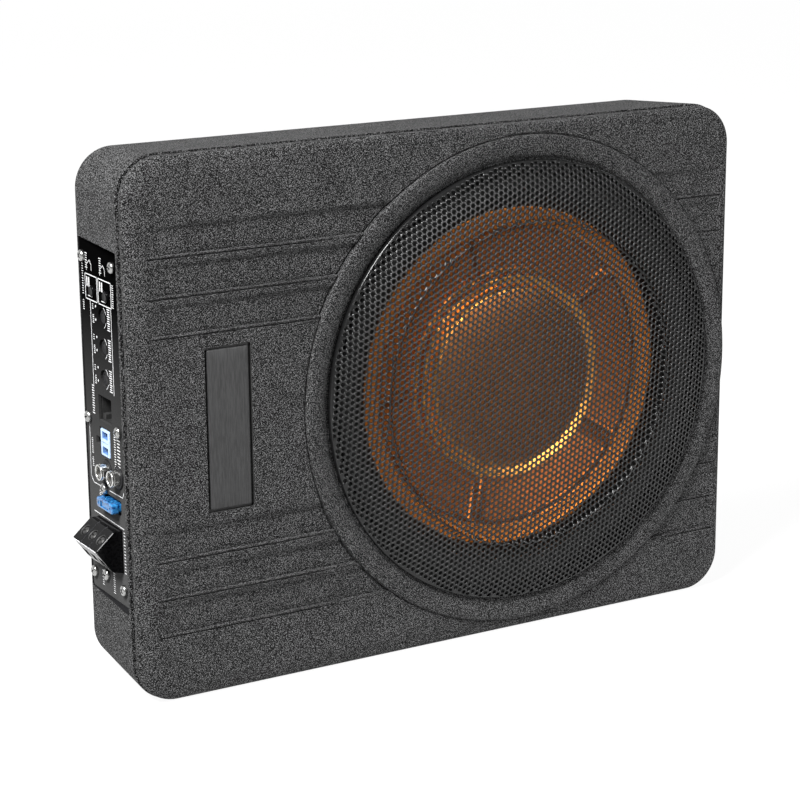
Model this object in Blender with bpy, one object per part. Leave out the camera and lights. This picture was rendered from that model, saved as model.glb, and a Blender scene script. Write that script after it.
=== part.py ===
"""Powered car subwoofer: a shallow moulded box with a driver behind a domed grille and an amplifier in its left side.

Sizes are in millimetres. Places are measured from the housing's left face, its front plane and the surface that it
stands on: x to the right, y to the rear, z up. make_object() turns them into the part's own frame, in metres, whose
origin is at the bottom centre of the bounding box.
"""

from math import cos, pi, radians, sin

import bmesh
import bpy
from mathutils import Matrix, Vector

# Driving dimensions of the housing
WIDTH, DEPTH, HEIGHT = 360.0, 67.0, 276.0
FRONT_CORNER_RADIUS = 21.7
BACK_CORNER_RADIUS = 20.0
CORNER_STEPS = 5
DRIVER_SEGMENTS = 32
RIM_SEGMENTS = 48
WALL = 3.5
DRAFT_LEFT, DRAFT_RIGHT, DRAFT_TOP, DRAFT_BOTTOM = 4.1, 4.6, 4.0, 3.0
GAP = 0.3
COVER_BACK = 5.8
SEAL_FRONT, SEAL_BACK = 6.1, 6.9
SHELL_FRONT = 7.2
EDGE_FILLET = 2.4
BACK_BEVEL = 2.6

# Driver and grille
DRIVER_X, DRIVER_Z = 227.3, 137.5
RING_INNER, RING_OUTER, RING_CREST = 119.4, 131.4, -1.5
LIP_INNER = 113.0
LIP_FRONT = 1.7
BEAD_RADIUS, BEAD_CREST = 87.0, -8.2
FLANGE_RADIUS = 124.0
SURROUND_RIM = 117.5
COIL_RADIUS = 25.2
WINDING_THICKNESS = 0.8
CONE_RADIUS, CONE_EDGE_Y, CONE_NECK_Y = 91.8, 12.0, 24.0
CAP_RADIUS, CAP_EDGE_Y, CAP_CENTRE_Y = 51.5, 11.5, 9.6

# Front details: each band is (lowest z, highest z)
BANDS = ((227.2, 240.2), (207.5, 221.5), (188.0, 201.5), (75.2, 89.5), (55.5, 68.5), (36.3, 51.5))
BAND_START, BAND_END, BAND_DEPTH = 11.0, 355.0, 1.6
BADGE_X = (40.8, 66.2)
BADGE_Z = (95.6, 179.8)
BADGE_RECESS = 2.0

# Amplifier panel in the left side
PANEL_FRONT_Y, PANEL_BACK_Y = 9.8, 63.4
PANEL_LOW, PANEL_HIGH = 46.9, 228.9
PANEL_FACE, PANEL_THICKNESS = 4.4, 1.6
PANEL_INNER = PANEL_FACE + PANEL_THICKNESS
LEDGE_FACE, LEDGE_THICKNESS = PANEL_INNER + GAP, 3.5
WINDOW_Y = (15.0, 56.2)
WINDOW_Z = (62.5, 214.0)
BOARD_X, BOARD_THICKNESS = 22.0, 1.6
PANEL_SCREWS = (
    (59.5, 219.8), (22.8, 219.8), (59.5, 137.3), (22.8, 137.3),
    (43.0, 103.4), (44.4, 57.6), (59.5, 55.4), (22.8, 55.4),
)
TRIMMERS = (("crossover", 192.2), ("boost", 176.7), ("gain", 161.2))
TRIMMER_Y = 39.0
SWITCHES = (("phase", 49.0), ("input", 32.0))
SWITCH_Z = 203.6
REMOTE_Y, REMOTE_Z = (31.6, 47.4), (138.4, 151.5)
HIGH_Y, HIGH_Z = (34.6, 47.4), (120.2, 135.0)
LATCH_Y, LATCH_Z = (47.4, 52.2), (125.4, 129.2)
RCA_Z = 113.4
RCA_JACKS = (("rear", 39.6), ("front", 25.8))
FUSE_Y, FUSE_Z = (25.0, 44.1), (94.9, 100.1)
FUSE_FACE = -0.4

# Power terminal: its outline in x and z, with the sloping screw face between corners 1 and 2
TERMINAL_Y = (24.1, 53.6)
TERMINAL_OUTLINE = ((21.7, 86.3), (-0.2, 86.3), (-10.2, 77.5), (-1.7, 65.6), (4.4, 64.0), (21.7, 64.0))
TERMINAL_WAYS = 3
TERMINAL_PITCH = 9.7
WIRE_DEPTH = 10.1

# Screws that hold the two halves together
SHELL_SCREWS = ((22.0, 20.0), (338.0, 20.0), (22.0, 256.0), (338.0, 256.0))
BOSS_MEET = 31.0
SCREW_SEAT = 55.0

LEFTMOST = TERMINAL_OUTLINE[2][0]
FRONTMOST = BEAD_CREST
PART_ORIGIN = Vector(((LEFTMOST + WIDTH) / 2, (FRONTMOST + DEPTH) / 2, 0))
MM = 0.001
AXIS_X, AXIS_Y = Vector((1, 0, 0)), Vector((0, 1, 0))

MATERIALS = {
    "housing": ((0.030, 0.031, 0.033), 0.75, 0.0),
    "badge": ((0.045, 0.046, 0.048), 0.35, 0.0),
    "grille": ((0.012, 0.012, 0.013), 0.40, 0.6),
    "panel": ((0.012, 0.012, 0.013), 0.45, 0.2),
    "seal": ((0.006, 0.006, 0.006), 0.90, 0.0),
    "steel": ((0.60, 0.60, 0.60), 0.30, 1.0),
    "nickel": ((0.75, 0.73, 0.70), 0.18, 1.0),
    "zinc": ((0.50, 0.50, 0.48), 0.35, 1.0),
    "aluminium": ((0.70, 0.70, 0.71), 0.35, 1.0),
    "cone": ((0.60, 0.27, 0.06), 0.28, 0.9),
    "rubber": ((0.010, 0.010, 0.010), 0.65, 0.0),
    "ferrite": ((0.030, 0.030, 0.032), 0.60, 0.0),
    "coil": ((0.55, 0.25, 0.10), 0.35, 0.8),
    "spider_cloth": ((0.50, 0.36, 0.10), 0.85, 0.0),
    "black_plastic": ((0.008, 0.008, 0.009), 0.25, 0.0),
    "white_plastic": ((0.70, 0.78, 0.88), 0.40, 0.0),
    "board": ((0.010, 0.10, 0.04), 0.45, 0.0),
    "fuse": ((0.010, 0.12, 0.60), 0.15, 0.0),
}


# --- tools -----------------------------------------------------------------


def clear_scene():
    for scene_object in list(bpy.data.objects):
        bpy.data.objects.remove(scene_object)


def material(slot):
    """The shared material of this slot, made the first time that it is asked for."""
    found = bpy.data.materials.get(slot)
    if found:
        return found
    colour, roughness, metallic = MATERIALS[slot]
    made = bpy.data.materials.new(slot)
    made.use_nodes = True
    shader = made.node_tree.nodes["Principled BSDF"]
    shader.inputs["Base Color"].default_value = (*colour, 1)
    shader.inputs["Roughness"].default_value = roughness
    shader.inputs["Metallic"].default_value = metallic
    return made


def make_object(name, shape, slot=None, origin=(0, 0, 0), parent=None):
    """An object from a bmesh in housing millimetres, with its own origin at that housing point."""
    bmesh.ops.recalc_face_normals(shape, faces=shape.faces)
    bmesh.ops.transform(shape, matrix=Matrix.Translation(-Vector(origin)), verts=shape.verts)
    bmesh.ops.scale(shape, vec=(MM, MM, MM), verts=shape.verts)
    mesh = bpy.data.meshes.new(name)
    shape.to_mesh(mesh)
    shape.free()
    mesh.shade_smooth()
    mesh.set_sharp_from_angle(angle=radians(30))
    made = bpy.data.objects.new(name, mesh)
    bpy.context.scene.collection.objects.link(made)
    made.location = (Vector(origin) - PART_ORIGIN) * MM
    if slot:
        mesh.materials.append(material(slot))
    if parent:
        made.location -= parent.location
        made.parent = parent
    return made


def make_axis(name, point):
    """An empty at a housing point, which moving pieces are parented to."""
    empty = bpy.data.objects.new(name, None)
    empty.location = (Vector(point) - PART_ORIGIN) * MM
    bpy.context.scene.collection.objects.link(empty)
    return empty


def combine(target, shape, operation, name):
    """Adds or cuts a shape from an object, with a Boolean whose helper isn't rendered."""
    helper = make_object(name, shape)
    helper.hide_render = True
    helper.display_type = "WIRE"
    modifier = target.modifiers.new(name, "BOOLEAN")
    modifier.operation = operation
    modifier.solver = "EXACT"
    modifier.object = helper


def cut(target, shape, name):
    combine(target, shape, "DIFFERENCE", name)


def join(target, shape, name):
    combine(target, shape, "UNION", name)


def add_loft(shape, loops):
    """A closed body through loops of equally many points, capped at its first and last loop."""
    rings = [[shape.verts.new(point) for point in loop] for loop in loops]
    count = len(rings[0])
    for one, other in zip(rings, rings[1:]):
        for i in range(count):
            j = (i + 1) % count
            shape.faces.new((one[i], one[j], other[j], other[i]))
    shape.faces.new(rings[0][::-1])
    shape.faces.new(rings[-1])
    return shape


def add_box(shape, x_range, y_range, z_range):
    corners = ((0, 0), (1, 0), (1, 1), (0, 1))
    return add_loft(shape, [[(x_range[i], y_range[j], z) for i, j in corners] for z in z_range])


def add_prism(shape, outline, along, low, high):
    """An outline in the two axes that remain, in X, Y, Z order, extruded along the third."""
    places = {"X": lambda a, b, h: (h, a, b), "Y": lambda a, b, h: (a, h, b), "Z": lambda a, b, h: (a, b, h)}
    place = places[along]
    return add_loft(shape, [[place(a, b, h) for a, b in outline] for h in (low, high)])


def add_turned(shape, base, axis, profile, segments=24):
    """A turned body. The profile is (radius, height along the axis) and closes itself where it is hollow."""
    to_axis = Vector((0, 0, 1)).rotation_difference(Vector(axis)).to_matrix()
    turns = [2 * pi * i / segments for i in range(segments)]
    rings = []
    for radius, height in profile:
        if radius < 1e-6:
            point = Vector(base) + to_axis @ Vector((0, 0, height))
            rings.append([shape.verts.new(point)] * segments)
            continue
        points = [Vector((radius * cos(a), radius * sin(a), height)) for a in turns]
        rings.append([shape.verts.new(Vector(base) + to_axis @ point) for point in points])
    solid = profile[0][0] < 1e-6 and profile[-1][0] < 1e-6
    following = rings[1:] if solid else rings[1:] + rings[:1]
    for one, other in zip(rings, following):
        for i in range(segments):
            j = (i + 1) % segments
            corners = list(dict.fromkeys((one[i], one[j], other[j], other[i])))
            if len(corners) > 2:
                shape.faces.new(corners)
    return shape


def add_rod(shape, base, axis, radius, low, high, segments=24):
    return add_turned(shape, base, axis, ((0, low), (radius, low), (radius, high), (0, high)), segments)


def driver_turned(profile, segments=DRIVER_SEGMENTS):
    """A body turned about the driver's axis, with its profile as (radius, y)."""
    return add_turned(bmesh.new(), (DRIVER_X, 0, DRIVER_Z), AXIS_Y, profile, segments)


def rounded_rectangle(low_a, high_a, low_b, high_b, radius, steps=CORNER_STEPS):
    centres = (
        (high_a - radius, high_b - radius), (low_a + radius, high_b - radius),
        (low_a + radius, low_b + radius), (high_a - radius, low_b + radius),
    )
    points = []
    for corner, (a, b) in enumerate(centres):
        for step in range(steps + 1):
            angle = pi / 2 * (corner + step / steps)
            points.append((a + radius * cos(angle), b + radius * sin(angle)))
    return points


def housing_loop(y, inset=0.0):
    """The housing's rounded outline at this depth, drafted behind the parting line and moved inwards by inset."""
    share = max(0.0, (y - SHELL_FRONT) / (DEPTH - SHELL_FRONT))
    radius = FRONT_CORNER_RADIUS + share * (BACK_CORNER_RADIUS - FRONT_CORNER_RADIUS) - inset
    low_x, high_x = share * DRAFT_LEFT + inset, WIDTH - share * DRAFT_RIGHT - inset
    low_z, high_z = share * DRAFT_BOTTOM + inset, HEIGHT - share * DRAFT_TOP - inset
    return [(x, y, z) for x, z in rounded_rectangle(low_x, high_x, low_z, high_z, radius)]


# --- housing ---------------------------------------------------------------


def make_rear_shell():
    """A drafted tub with screw posts, two standing pads and the pocket for the amplifier panel."""
    back_inside = DEPTH - WALL
    fillet = [(DEPTH - BACK_BEVEL * (1 - sin(a)), BACK_BEVEL * (1 - cos(a))) for a in (0, pi / 4, pi / 2)]
    loops = [housing_loop(back_inside, WALL), housing_loop(SHELL_FRONT, WALL), housing_loop(SHELL_FRONT)]
    loops += [housing_loop(y, inset) for y, inset in fillet]
    shell = make_object("rear_shell", add_loft(bmesh.new(), loops), "housing")

    ledge_back = LEDGE_FACE + LEDGE_THICKNESS
    add = add_box(bmesh.new(), (4.5, ledge_back), (SHELL_FRONT + GAP, 65.0), (PANEL_LOW - 4, PANEL_HIGH + 4))
    join(shell, add, "pocket_walls")
    posts = bmesh.new()
    for x, z in SHELL_SCREWS:
        add_rod(posts, (x, 0, z), AXIS_Y, 5.5, BOSS_MEET, 65.0, 12)
    join(shell, posts, "screw_posts")
    pads = bmesh.new()
    for x in (70.0, 290.0):
        add_box(pads, (x - 20, x + 20), (51.0, 62.0), (0.0, 5.0))
    join(shell, pads, "standing_pads")

    pocket_y = (PANEL_FRONT_Y - GAP, PANEL_BACK_Y + GAP)
    pocket_z = (PANEL_LOW - GAP, PANEL_HIGH + GAP)
    pocket = add_box(bmesh.new(), (-2, LEDGE_FACE), pocket_y, pocket_z)
    cut(shell, pocket, "pocket")
    openings = add_box(bmesh.new(), (LEDGE_FACE - 1, ledge_back + 1), WINDOW_Y, WINDOW_Z)
    for y, z in PANEL_SCREWS:
        if not (WINDOW_Y[0] < y < WINDOW_Y[1] and WINDOW_Z[0] < z < WINDOW_Z[1]):
            add_rod(openings, (0, y, z), AXIS_X, 1.8, LEDGE_FACE - 1, ledge_back + 1, 8)
    for x, z in SHELL_SCREWS:
        steps = ((0, BOSS_MEET - 1), (2.1, BOSS_MEET - 1), (2.1, SCREW_SEAT), (3.8, SCREW_SEAT), (3.8, 70), (0, 70))
        add_turned(openings, (x, 0, z), AXIS_Y, steps, 12)
    cut(shell, openings, "shell_openings")


def ring_profile():
    """The raised bezel round the grille, with rounded shoulders."""
    crest, shoulder = RING_CREST, 1.4
    angles = (0, pi / 4, pi / 2)
    outer = [(RING_OUTER - shoulder * (1 - cos(a)), crest + shoulder * (1 - sin(a))) for a in angles]
    inner = [(RING_INNER + shoulder * (1 - sin(a)), crest + shoulder * (1 - cos(a))) for a in angles]
    return [(RING_INNER, 2.5), (RING_OUTER, 2.5)] + outer + inner


def make_front_cover():
    """The front moulding: bands, badge recess, ring bezel, driver opening with its lip, and screw bosses."""
    fillet = [(EDGE_FILLET * (1 - sin(a)), EDGE_FILLET * (1 - cos(a))) for a in (0, pi / 4, pi / 2)]
    loops = [housing_loop(WALL, WALL), housing_loop(COVER_BACK, WALL), housing_loop(COVER_BACK)]
    loops += [housing_loop(y, inset) for y, inset in fillet]
    cover = make_object("front_cover", add_loft(bmesh.new(), loops), "housing")

    bosses = bmesh.new()
    for x, z in SHELL_SCREWS:
        add_rod(bosses, (x, 0, z), AXIS_Y, 4.6, WALL - 0.5, BOSS_MEET - GAP, 12)
    join(cover, bosses, "cover_bosses")

    recesses = bmesh.new()
    plan = (
        (BAND_START, -1.0), (BAND_START, 0.0), (BAND_START + 90, BAND_DEPTH),
        (BAND_END - 55, BAND_DEPTH), (BAND_END, 0.1), (BAND_END, -1.0),
    )
    for low, high in BANDS:
        add_prism(recesses, plan, "Z", low, high)
    add_box(recesses, BADGE_X, (-1.0, BADGE_RECESS), BADGE_Z)
    cut(cover, recesses, "front_recesses")
    join(cover, driver_turned(ring_profile(), RIM_SEGMENTS), "ring_bezel")

    holes = driver_turned(
        ((0, -3), (RING_INNER, -3), (RING_INNER, LIP_FRONT), (LIP_INNER, LIP_FRONT), (LIP_INNER, 5), (0, 5)), RIM_SEGMENTS
    )
    for x, z in SHELL_SCREWS:
        add_rod(holes, (x, 0, z), AXIS_Y, 2.0, 12.0, BOSS_MEET + 1, 12)
    cut(cover, holes, "cover_openings")


def make_housing_seal():
    """The foam cord in the parting groove."""
    loops = [housing_loop(SEAL_BACK, 3.3), housing_loop(SEAL_BACK, 1.2)]
    loops += [housing_loop(SEAL_FRONT, 1.2), housing_loop(SEAL_FRONT, 3.3)]
    shape = bmesh.new()
    rings = [[shape.verts.new(point) for point in loop] for loop in loops]
    count = len(rings[0])
    for one, other in zip(rings, rings[1:] + rings[:1]):
        for i in range(count):
            j = (i + 1) % count
            shape.faces.new((one[i], one[j], other[j], other[i]))
    make_object("housing_seal", shape, "seal")


def make_badge_plate():
    margin = 0.9
    outline = rounded_rectangle(
        BADGE_X[0] + margin, BADGE_X[1] - margin, BADGE_Z[0] + margin, BADGE_Z[1] - margin, 1.0, 2
    )
    plate = add_prism(bmesh.new(), outline, "Y", 0.1, BADGE_RECESS - GAP)
    make_object("badge_plate", plate, "badge")


def make_grille():
    """A domed steel sheet with a rolled rim and one pressed bead."""
    front = (
        (118.3, 1.3), (118.3, -1.2), (108.0, -3.9), (BEAD_RADIUS + 2, -6.2), (BEAD_RADIUS, BEAD_CREST),
        (BEAD_RADIUS - 2, -6.6), (0, -7.7),
    )
    back = ((0, -6.5), (BEAD_RADIUS, -5.6), (108.0, -2.9), (117.3, -0.6), (117.3, 1.3))
    make_object("grille", driver_turned(front + back, RIM_SEGMENTS), "grille")


def make_shell_screws():
    for number, (x, z) in enumerate(SHELL_SCREWS, 1):
        profile = (
            (0, 20.0), (1.6, 20.0), (1.6, SCREW_SEAT + GAP), (3.2, SCREW_SEAT + GAP), (3.2, 57.0), (1.8, 57.8),
            (0, 56.8),
        )
        shape = add_turned(bmesh.new(), (x, 0, z), AXIS_Y, profile, 12)
        make_object(f"shell_screw_{number}", shape, "zinc", (x, SCREW_SEAT, z))


# --- driver ----------------------------------------------------------------


def make_driver_gasket():
    inner = SURROUND_RIM + GAP
    profile = ((inner, 3.8), (FLANGE_RADIUS, 3.8), (FLANGE_RADIUS, 5.6), (inner, 5.6))
    make_object("driver_gasket", driver_turned(profile), "seal")


def make_driver_basket():
    """A pressed frame: flange, conical wall with six windows, ledge for the spider and a floor on the top plate."""
    front = ((FLANGE_RADIUS, 5.9), (109.0, 5.9), (106.5, 8.5), (66.0, 32.4), (59.0, 32.4), (57.0, 36.2), (27.5, 36.2))
    back = ((27.5, 37.7), (58.3, 37.7), (60.3, 33.9), (66.6, 33.9), (108.0, 9.4), (110.2, 7.3), (FLANGE_RADIUS, 7.3))
    basket = make_object("driver_basket", driver_turned(front + back), "steel")
    windows = bmesh.new()
    for number in range(6):
        turn = Matrix.Rotation(pi / 3 * number, 4, "Y")
        window = bmesh.new()
        add_box(window, (74.0, 99.0), (8.5, 34.0), (-27.0, 27.0))
        place = Matrix.Translation((DRIVER_X, 0, DRIVER_Z)) @ turn
        bmesh.ops.transform(window, matrix=place, verts=window.verts)
        placed = bpy.data.meshes.new("window")
        window.to_mesh(placed)
        window.free()
        windows.from_mesh(placed)
        bpy.data.meshes.remove(placed)
    cut(basket, windows, "basket_windows")


def make_motor():
    """The magnet between its two plates, with the vented pole through them."""
    top_plate = ((27.0, 38.0), (50.0, 38.0), (50.0, 42.9), (27.0, 42.9))
    make_object("top_plate", driver_turned(top_plate), "zinc")
    magnet = ((30.0, 43.2), (54.0, 43.2), (54.0, 57.2), (30.0, 57.2))
    make_object("magnet", driver_turned(magnet), "ferrite")
    yoke = ((8.0, 38.0), (23.6, 38.0), (23.6, 57.5), (51.0, 57.5), (52.0, 58.5), (52.0, 62.8), (8.0, 62.8))
    make_object("yoke", driver_turned(yoke), "zinc")


def make_moving_assembly():
    """Cone, coil and dust cap, which move together along the driver's axis."""
    axis_point = (DRIVER_X, CONE_NECK_Y, DRIVER_Z)
    axis = make_axis("cone_axis", axis_point)
    winding = COIL_RADIUS + WINDING_THICKNESS
    coil = ((24.5, 18.0), (COIL_RADIUS, 18.0), (COIL_RADIUS, 34.0), (winding, 34.0), (winding, 47.0), (24.5, 47.0))
    make_object("voice_coil", driver_turned(coil), "coil", axis_point, axis)
    neck = COIL_RADIUS + GAP
    cone = (
        (CONE_RADIUS, CONE_EDGE_Y), (CONE_RADIUS - 4.0, CONE_EDGE_Y + 1.6), (57.0, 18.2), (neck, CONE_NECK_Y - 0.9),
        (neck, CONE_NECK_Y + 2.5), (neck + 1.0, CONE_NECK_Y + 2.5), (neck + 1.2, CONE_NECK_Y),
        (57.0, 19.2), (CONE_RADIUS - 3.7, CONE_EDGE_Y + 2.6), (CONE_RADIUS, CONE_EDGE_Y + 1.0),
    )
    make_object("cone", driver_turned(cone), "cone", axis_point, axis)
    cap = (
        (0, CAP_CENTRE_Y), (25.0, CAP_CENTRE_Y + 0.5), (CAP_RADIUS - 3, CAP_EDGE_Y), (CAP_RADIUS, CAP_EDGE_Y + 0.6),
        (CAP_RADIUS + 1.6, 18.2), (CAP_RADIUS + 0.6, 18.2), (CAP_RADIUS - 1.0, CAP_EDGE_Y + 1.6),
        (CAP_RADIUS - 3, CAP_EDGE_Y + 1.0), (25.0, CAP_CENTRE_Y + 1.5), (0, CAP_CENTRE_Y + 1.0),
    )
    make_object("dust_cap", driver_turned(cap), "cone", axis_point, axis)


def make_surround():
    """The rubber half roll between the cone's edge and the basket's flange."""
    inner, outer, thickness = CONE_RADIUS + 0.4, 111.5, 1.0
    middle, half = (inner + outer) / 2, (outer - inner) / 2
    angles = [pi * step / 5 for step in range(6)]

    def roll(width, rise, radius_shift=0.0):
        points = []
        for angle in angles:
            share = angle / pi
            level = (CONE_EDGE_Y + 1.0) * (1 - share) + 5.4 * share
            points.append((middle - width * cos(angle) + radius_shift, level - rise * sin(angle)))
        return points

    front = roll(half, 6.0)
    back = roll(half - thickness, 5.0)
    lip = [(SURROUND_RIM, 4.4), (SURROUND_RIM, 5.6)]
    profile = [(inner, CONE_EDGE_Y)] + front[1:-1] + [(outer, 4.4)] + lip + [(outer - 0.5, 5.6)] + back[1:-1][::-1]
    profile += [(inner + thickness, CONE_EDGE_Y + 1.0), (inner, CONE_EDGE_Y + 1.0)]
    make_object("surround", driver_turned(profile), "rubber")


def make_spider():
    """The corrugated cloth disc that centres the coil."""
    inner, outer, pleats = COIL_RADIUS + WINDING_THICKNESS + 0.4, 59.0, 4
    front = [(inner + (outer - inner) * step / pleats, 30.5 + 1.6 * (step % 2)) for step in range(pleats + 1)]
    front[-1] = (outer, 31.2)
    front.append((65.5, 31.2))
    back = [(radius, level + 0.8) for radius, level in front]
    make_object("spider", driver_turned(front + back[::-1]), "spider_cloth")


def make_terminal_tab():
    shape = add_box(bmesh.new(), (150.0, 151.6), (30.0, 46.0), (127.0, 148.0))
    tab = make_object("terminal_tab", shape, "board")
    legs = bmesh.new()
    for z in (132.5, 142.5):
        add_box(legs, (146.0, 150.5), (38.0, 38.9), (z - 2.4, z + 2.4))
    join(tab, legs, "tab_blades")


def make_speaker_cable():
    """The twin lead from the amplifier board to the driver's terminal tab."""
    route = ((24.6, 40.0, 143.0), (40.0, 44.0, 143.0), (70.0, 50.0, 140.0), (105.0, 50.0, 137.0),
             (130.0, 44.0, 137.5), (144.0, 42.4, 137.5))
    curve = bpy.data.curves.new("speaker_cable", "CURVE")
    curve.dimensions = "3D"
    curve.bevel_depth = 1.8 * MM
    curve.bevel_resolution = 1
    curve.use_fill_caps = True
    points = smooth_route([Vector(point) for point in route], 3)
    spline = curve.splines.new("POLY")
    spline.points.add(len(points) - 1)
    for spline_point, point in zip(spline.points, points):
        spline_point.co = (*((point - PART_ORIGIN) * MM), 1)
    curve.materials.append(material("rubber"))
    made = bpy.data.objects.new("speaker_cable", curve)
    bpy.context.scene.collection.objects.link(made)


def smooth_route(points, steps):
    """Points on the Catmull-Rom curve through these points."""
    padded = [points[0] * 2 - points[1]] + points + [points[-1] * 2 - points[-2]]
    found = []
    for a, b, c, d in zip(padded, padded[1:], padded[2:], padded[3:]):
        for step in range(steps):
            t = step / steps
            found.append(
                (b * 2 + (c - a) * t + (a * 2 - b * 5 + c * 4 - d) * t**2 + (b * 3 - a - c * 3 + d) * t**3) / 2
            )
    return found + [points[-1]]


# --- amplifier -------------------------------------------------------------


def make_control_panel():
    outline = rounded_rectangle(PANEL_FRONT_Y, PANEL_BACK_Y, PANEL_LOW, PANEL_HIGH, 1.5, 2)
    shape = add_prism(bmesh.new(), outline, "X", PANEL_FACE, PANEL_INNER)
    panel = make_object("control_panel", shape, "panel")
    through = (PANEL_FACE - 2, PANEL_INNER + 2)
    holes = bmesh.new()
    for y, z in PANEL_SCREWS:
        add_rod(holes, (0, y, z), AXIS_X, 1.8, *through, 8)
    for _, z in TRIMMERS:
        add_rod(holes, (0, TRIMMER_Y, z), AXIS_X, 4.3, *through, 18)
    for _, y in SWITCHES:
        add_rod(holes, (0, y, SWITCH_Z), AXIS_X, 3.2, *through, 16)
    for _, y in RCA_JACKS:
        add_rod(holes, (0, y, RCA_Z), AXIS_X, 6.1, *through, 18)
    add_box(holes, through, REMOTE_Y, REMOTE_Z)
    latch = (
        (HIGH_Y[0], HIGH_Z[0]), (HIGH_Y[1], HIGH_Z[0]), (HIGH_Y[1], LATCH_Z[0]), (LATCH_Y[1], LATCH_Z[0]),
        (LATCH_Y[1], LATCH_Z[1]), (HIGH_Y[1], LATCH_Z[1]), (HIGH_Y[1], HIGH_Z[1]), (HIGH_Y[0], HIGH_Z[1]),
    )
    add_prism(holes, latch, "X", *through)
    add_box(holes, through, (FUSE_Y[0] - 0.9, FUSE_Y[1] + 0.9), (FUSE_Z[0] - 1.2, FUSE_Z[1] + 1.2))
    add_box(holes, through, (TERMINAL_Y[0] - GAP, TERMINAL_Y[1] + GAP), (63.7, 86.6))
    cut(panel, holes, "panel_openings")


def make_panel_screws():
    """Pan-head screws whose cross recess is left to a shallow dish."""
    for number, (y, z) in enumerate(PANEL_SCREWS, 1):
        profile = (
            (0, 10.5), (1.5, 10.5), (1.5, PANEL_FACE - GAP), (3.0, PANEL_FACE - GAP), (3.0, 3.0), (1.8, 2.0),
            (0, 2.8),
        )
        shape = add_turned(bmesh.new(), (0, y, z), AXIS_X, profile, 12)
        make_object(f"panel_screw_{number}", shape, "nickel", (PANEL_FACE, y, z))


def make_trimmer(label, z):
    """A recessed knob with a screwdriver slot, turning in the body behind it."""
    centre = (0, TRIMMER_Y, z)
    body = add_box(bmesh.new(), (10.2, 21.7), (TRIMMER_Y - 4.8, TRIMMER_Y + 4.8), (z - 4.8, z + 4.8))
    body = make_object(f"{label}_body", body, "black_plastic")
    cut(body, add_rod(bmesh.new(), centre, AXIS_X, 2.4, 8, 16.0, 10), f"{label}_bore")
    profile = ((0, 5.3), (3.4, 5.3), (3.8, 5.8), (3.8, 9.7), (2.0, 9.7), (2.0, 15.2), (0, 15.2))
    knob = add_turned(bmesh.new(), centre, AXIS_X, profile, 14)
    knob = make_object(f"{label}_knob", knob, "black_plastic", (PANEL_FACE, TRIMMER_Y, z))
    slot = add_box(bmesh.new(), (4.0, 6.4), (TRIMMER_Y - 2.6, TRIMMER_Y + 2.6), (z - 0.5, z + 0.5))
    cut(knob, slot, f"{label}_slot")


def make_switch(label, y):
    """A push switch: a body on the board and a round button through the panel."""
    centre = (0, y, SWITCH_Z)
    body = add_box(bmesh.new(), (9.0, 21.7), (y - 5.0, y + 5.0), (SWITCH_Z - 4.6, SWITCH_Z + 4.6))
    body = make_object(f"{label}_switch_body", body, "black_plastic")
    cut(body, add_rod(bmesh.new(), centre, AXIS_X, 3.2, 7, 16.0, 12), f"{label}_switch_bore")
    profile = ((0, 3.0), (2.3, 3.0), (2.8, 3.5), (2.8, 13.5), (0, 13.5))
    button = add_turned(bmesh.new(), centre, AXIS_X, profile, 14)
    make_object(f"{label}_button", button, "black_plastic", (PANEL_FACE, y, SWITCH_Z))


def make_remote_jack():
    """A modular jack behind its panel opening, with a stepped socket."""
    rim = 1.4
    outer_y = (REMOTE_Y[0] - rim, REMOTE_Y[1] + rim)
    outer_z = (REMOTE_Z[0] - rim, REMOTE_Z[1] + rim)
    jack = make_object("remote_jack", add_box(bmesh.new(), (LEDGE_FACE, 21.7), outer_y, outer_z), "black_plastic")
    low_y, high_y = REMOTE_Y[0] + 0.6, REMOTE_Y[1] - 0.6
    low_z, step_z, high_z = REMOTE_Z[0] + 0.6, REMOTE_Z[0] + 3.2, REMOTE_Z[1] - 0.6
    step_y = (REMOTE_Y[0] + 4.5, REMOTE_Y[1] - 4.5)
    outline = (
        (step_y[0], low_z), (step_y[1], low_z), (step_y[1], step_z), (high_y, step_z),
        (high_y, high_z), (low_y, high_z), (low_y, step_z), (step_y[0], step_z),
    )
    cut(jack, add_prism(bmesh.new(), outline, "X", 5.0, 18.5), "remote_socket")


def make_high_level_socket():
    """The speaker-level header: a nylon block with two pin pockets."""
    block = add_box(
        bmesh.new(), (PANEL_FACE - 0.3, 21.7), (HIGH_Y[0] + 0.5, HIGH_Y[1] - 1.6), (HIGH_Z[0] + 0.5, HIGH_Z[1] - 0.5)
    )
    socket = make_object("high_level_socket", block, "white_plastic")
    pockets = bmesh.new()
    middle = (HIGH_Y[0] + 0.5 + HIGH_Y[1] - 1.6) / 2
    for z in (HIGH_Z[0] + 3.2, HIGH_Z[1] - 3.2):
        add_box(pockets, (2, 9.0), (middle - 1.7, middle + 1.7), (z - 1.5, z + 1.5))
    cut(socket, pockets, "pin_pockets")


def make_rca_jack(label, y):
    """A phono jack: insulating foot, nickel barrel and the hole for the centre pin."""
    profile = (
        (0, 21.7), (6.3, 21.7), (6.3, LEDGE_FACE), (5.8, LEDGE_FACE), (5.8, 3.6), (4.15, 3.6), (4.15, -0.4),
        (3.8, -0.8), (3.2, -0.8), (3.2, 1.0), (1.7, 1.0), (1.7, 8.0), (0, 8.0),
    )
    shape = add_turned(bmesh.new(), (0, y, RCA_Z), AXIS_X, profile, 16)
    make_object(f"rca_jack_{label}", shape, "nickel", (PANEL_FACE, y, RCA_Z))


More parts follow.
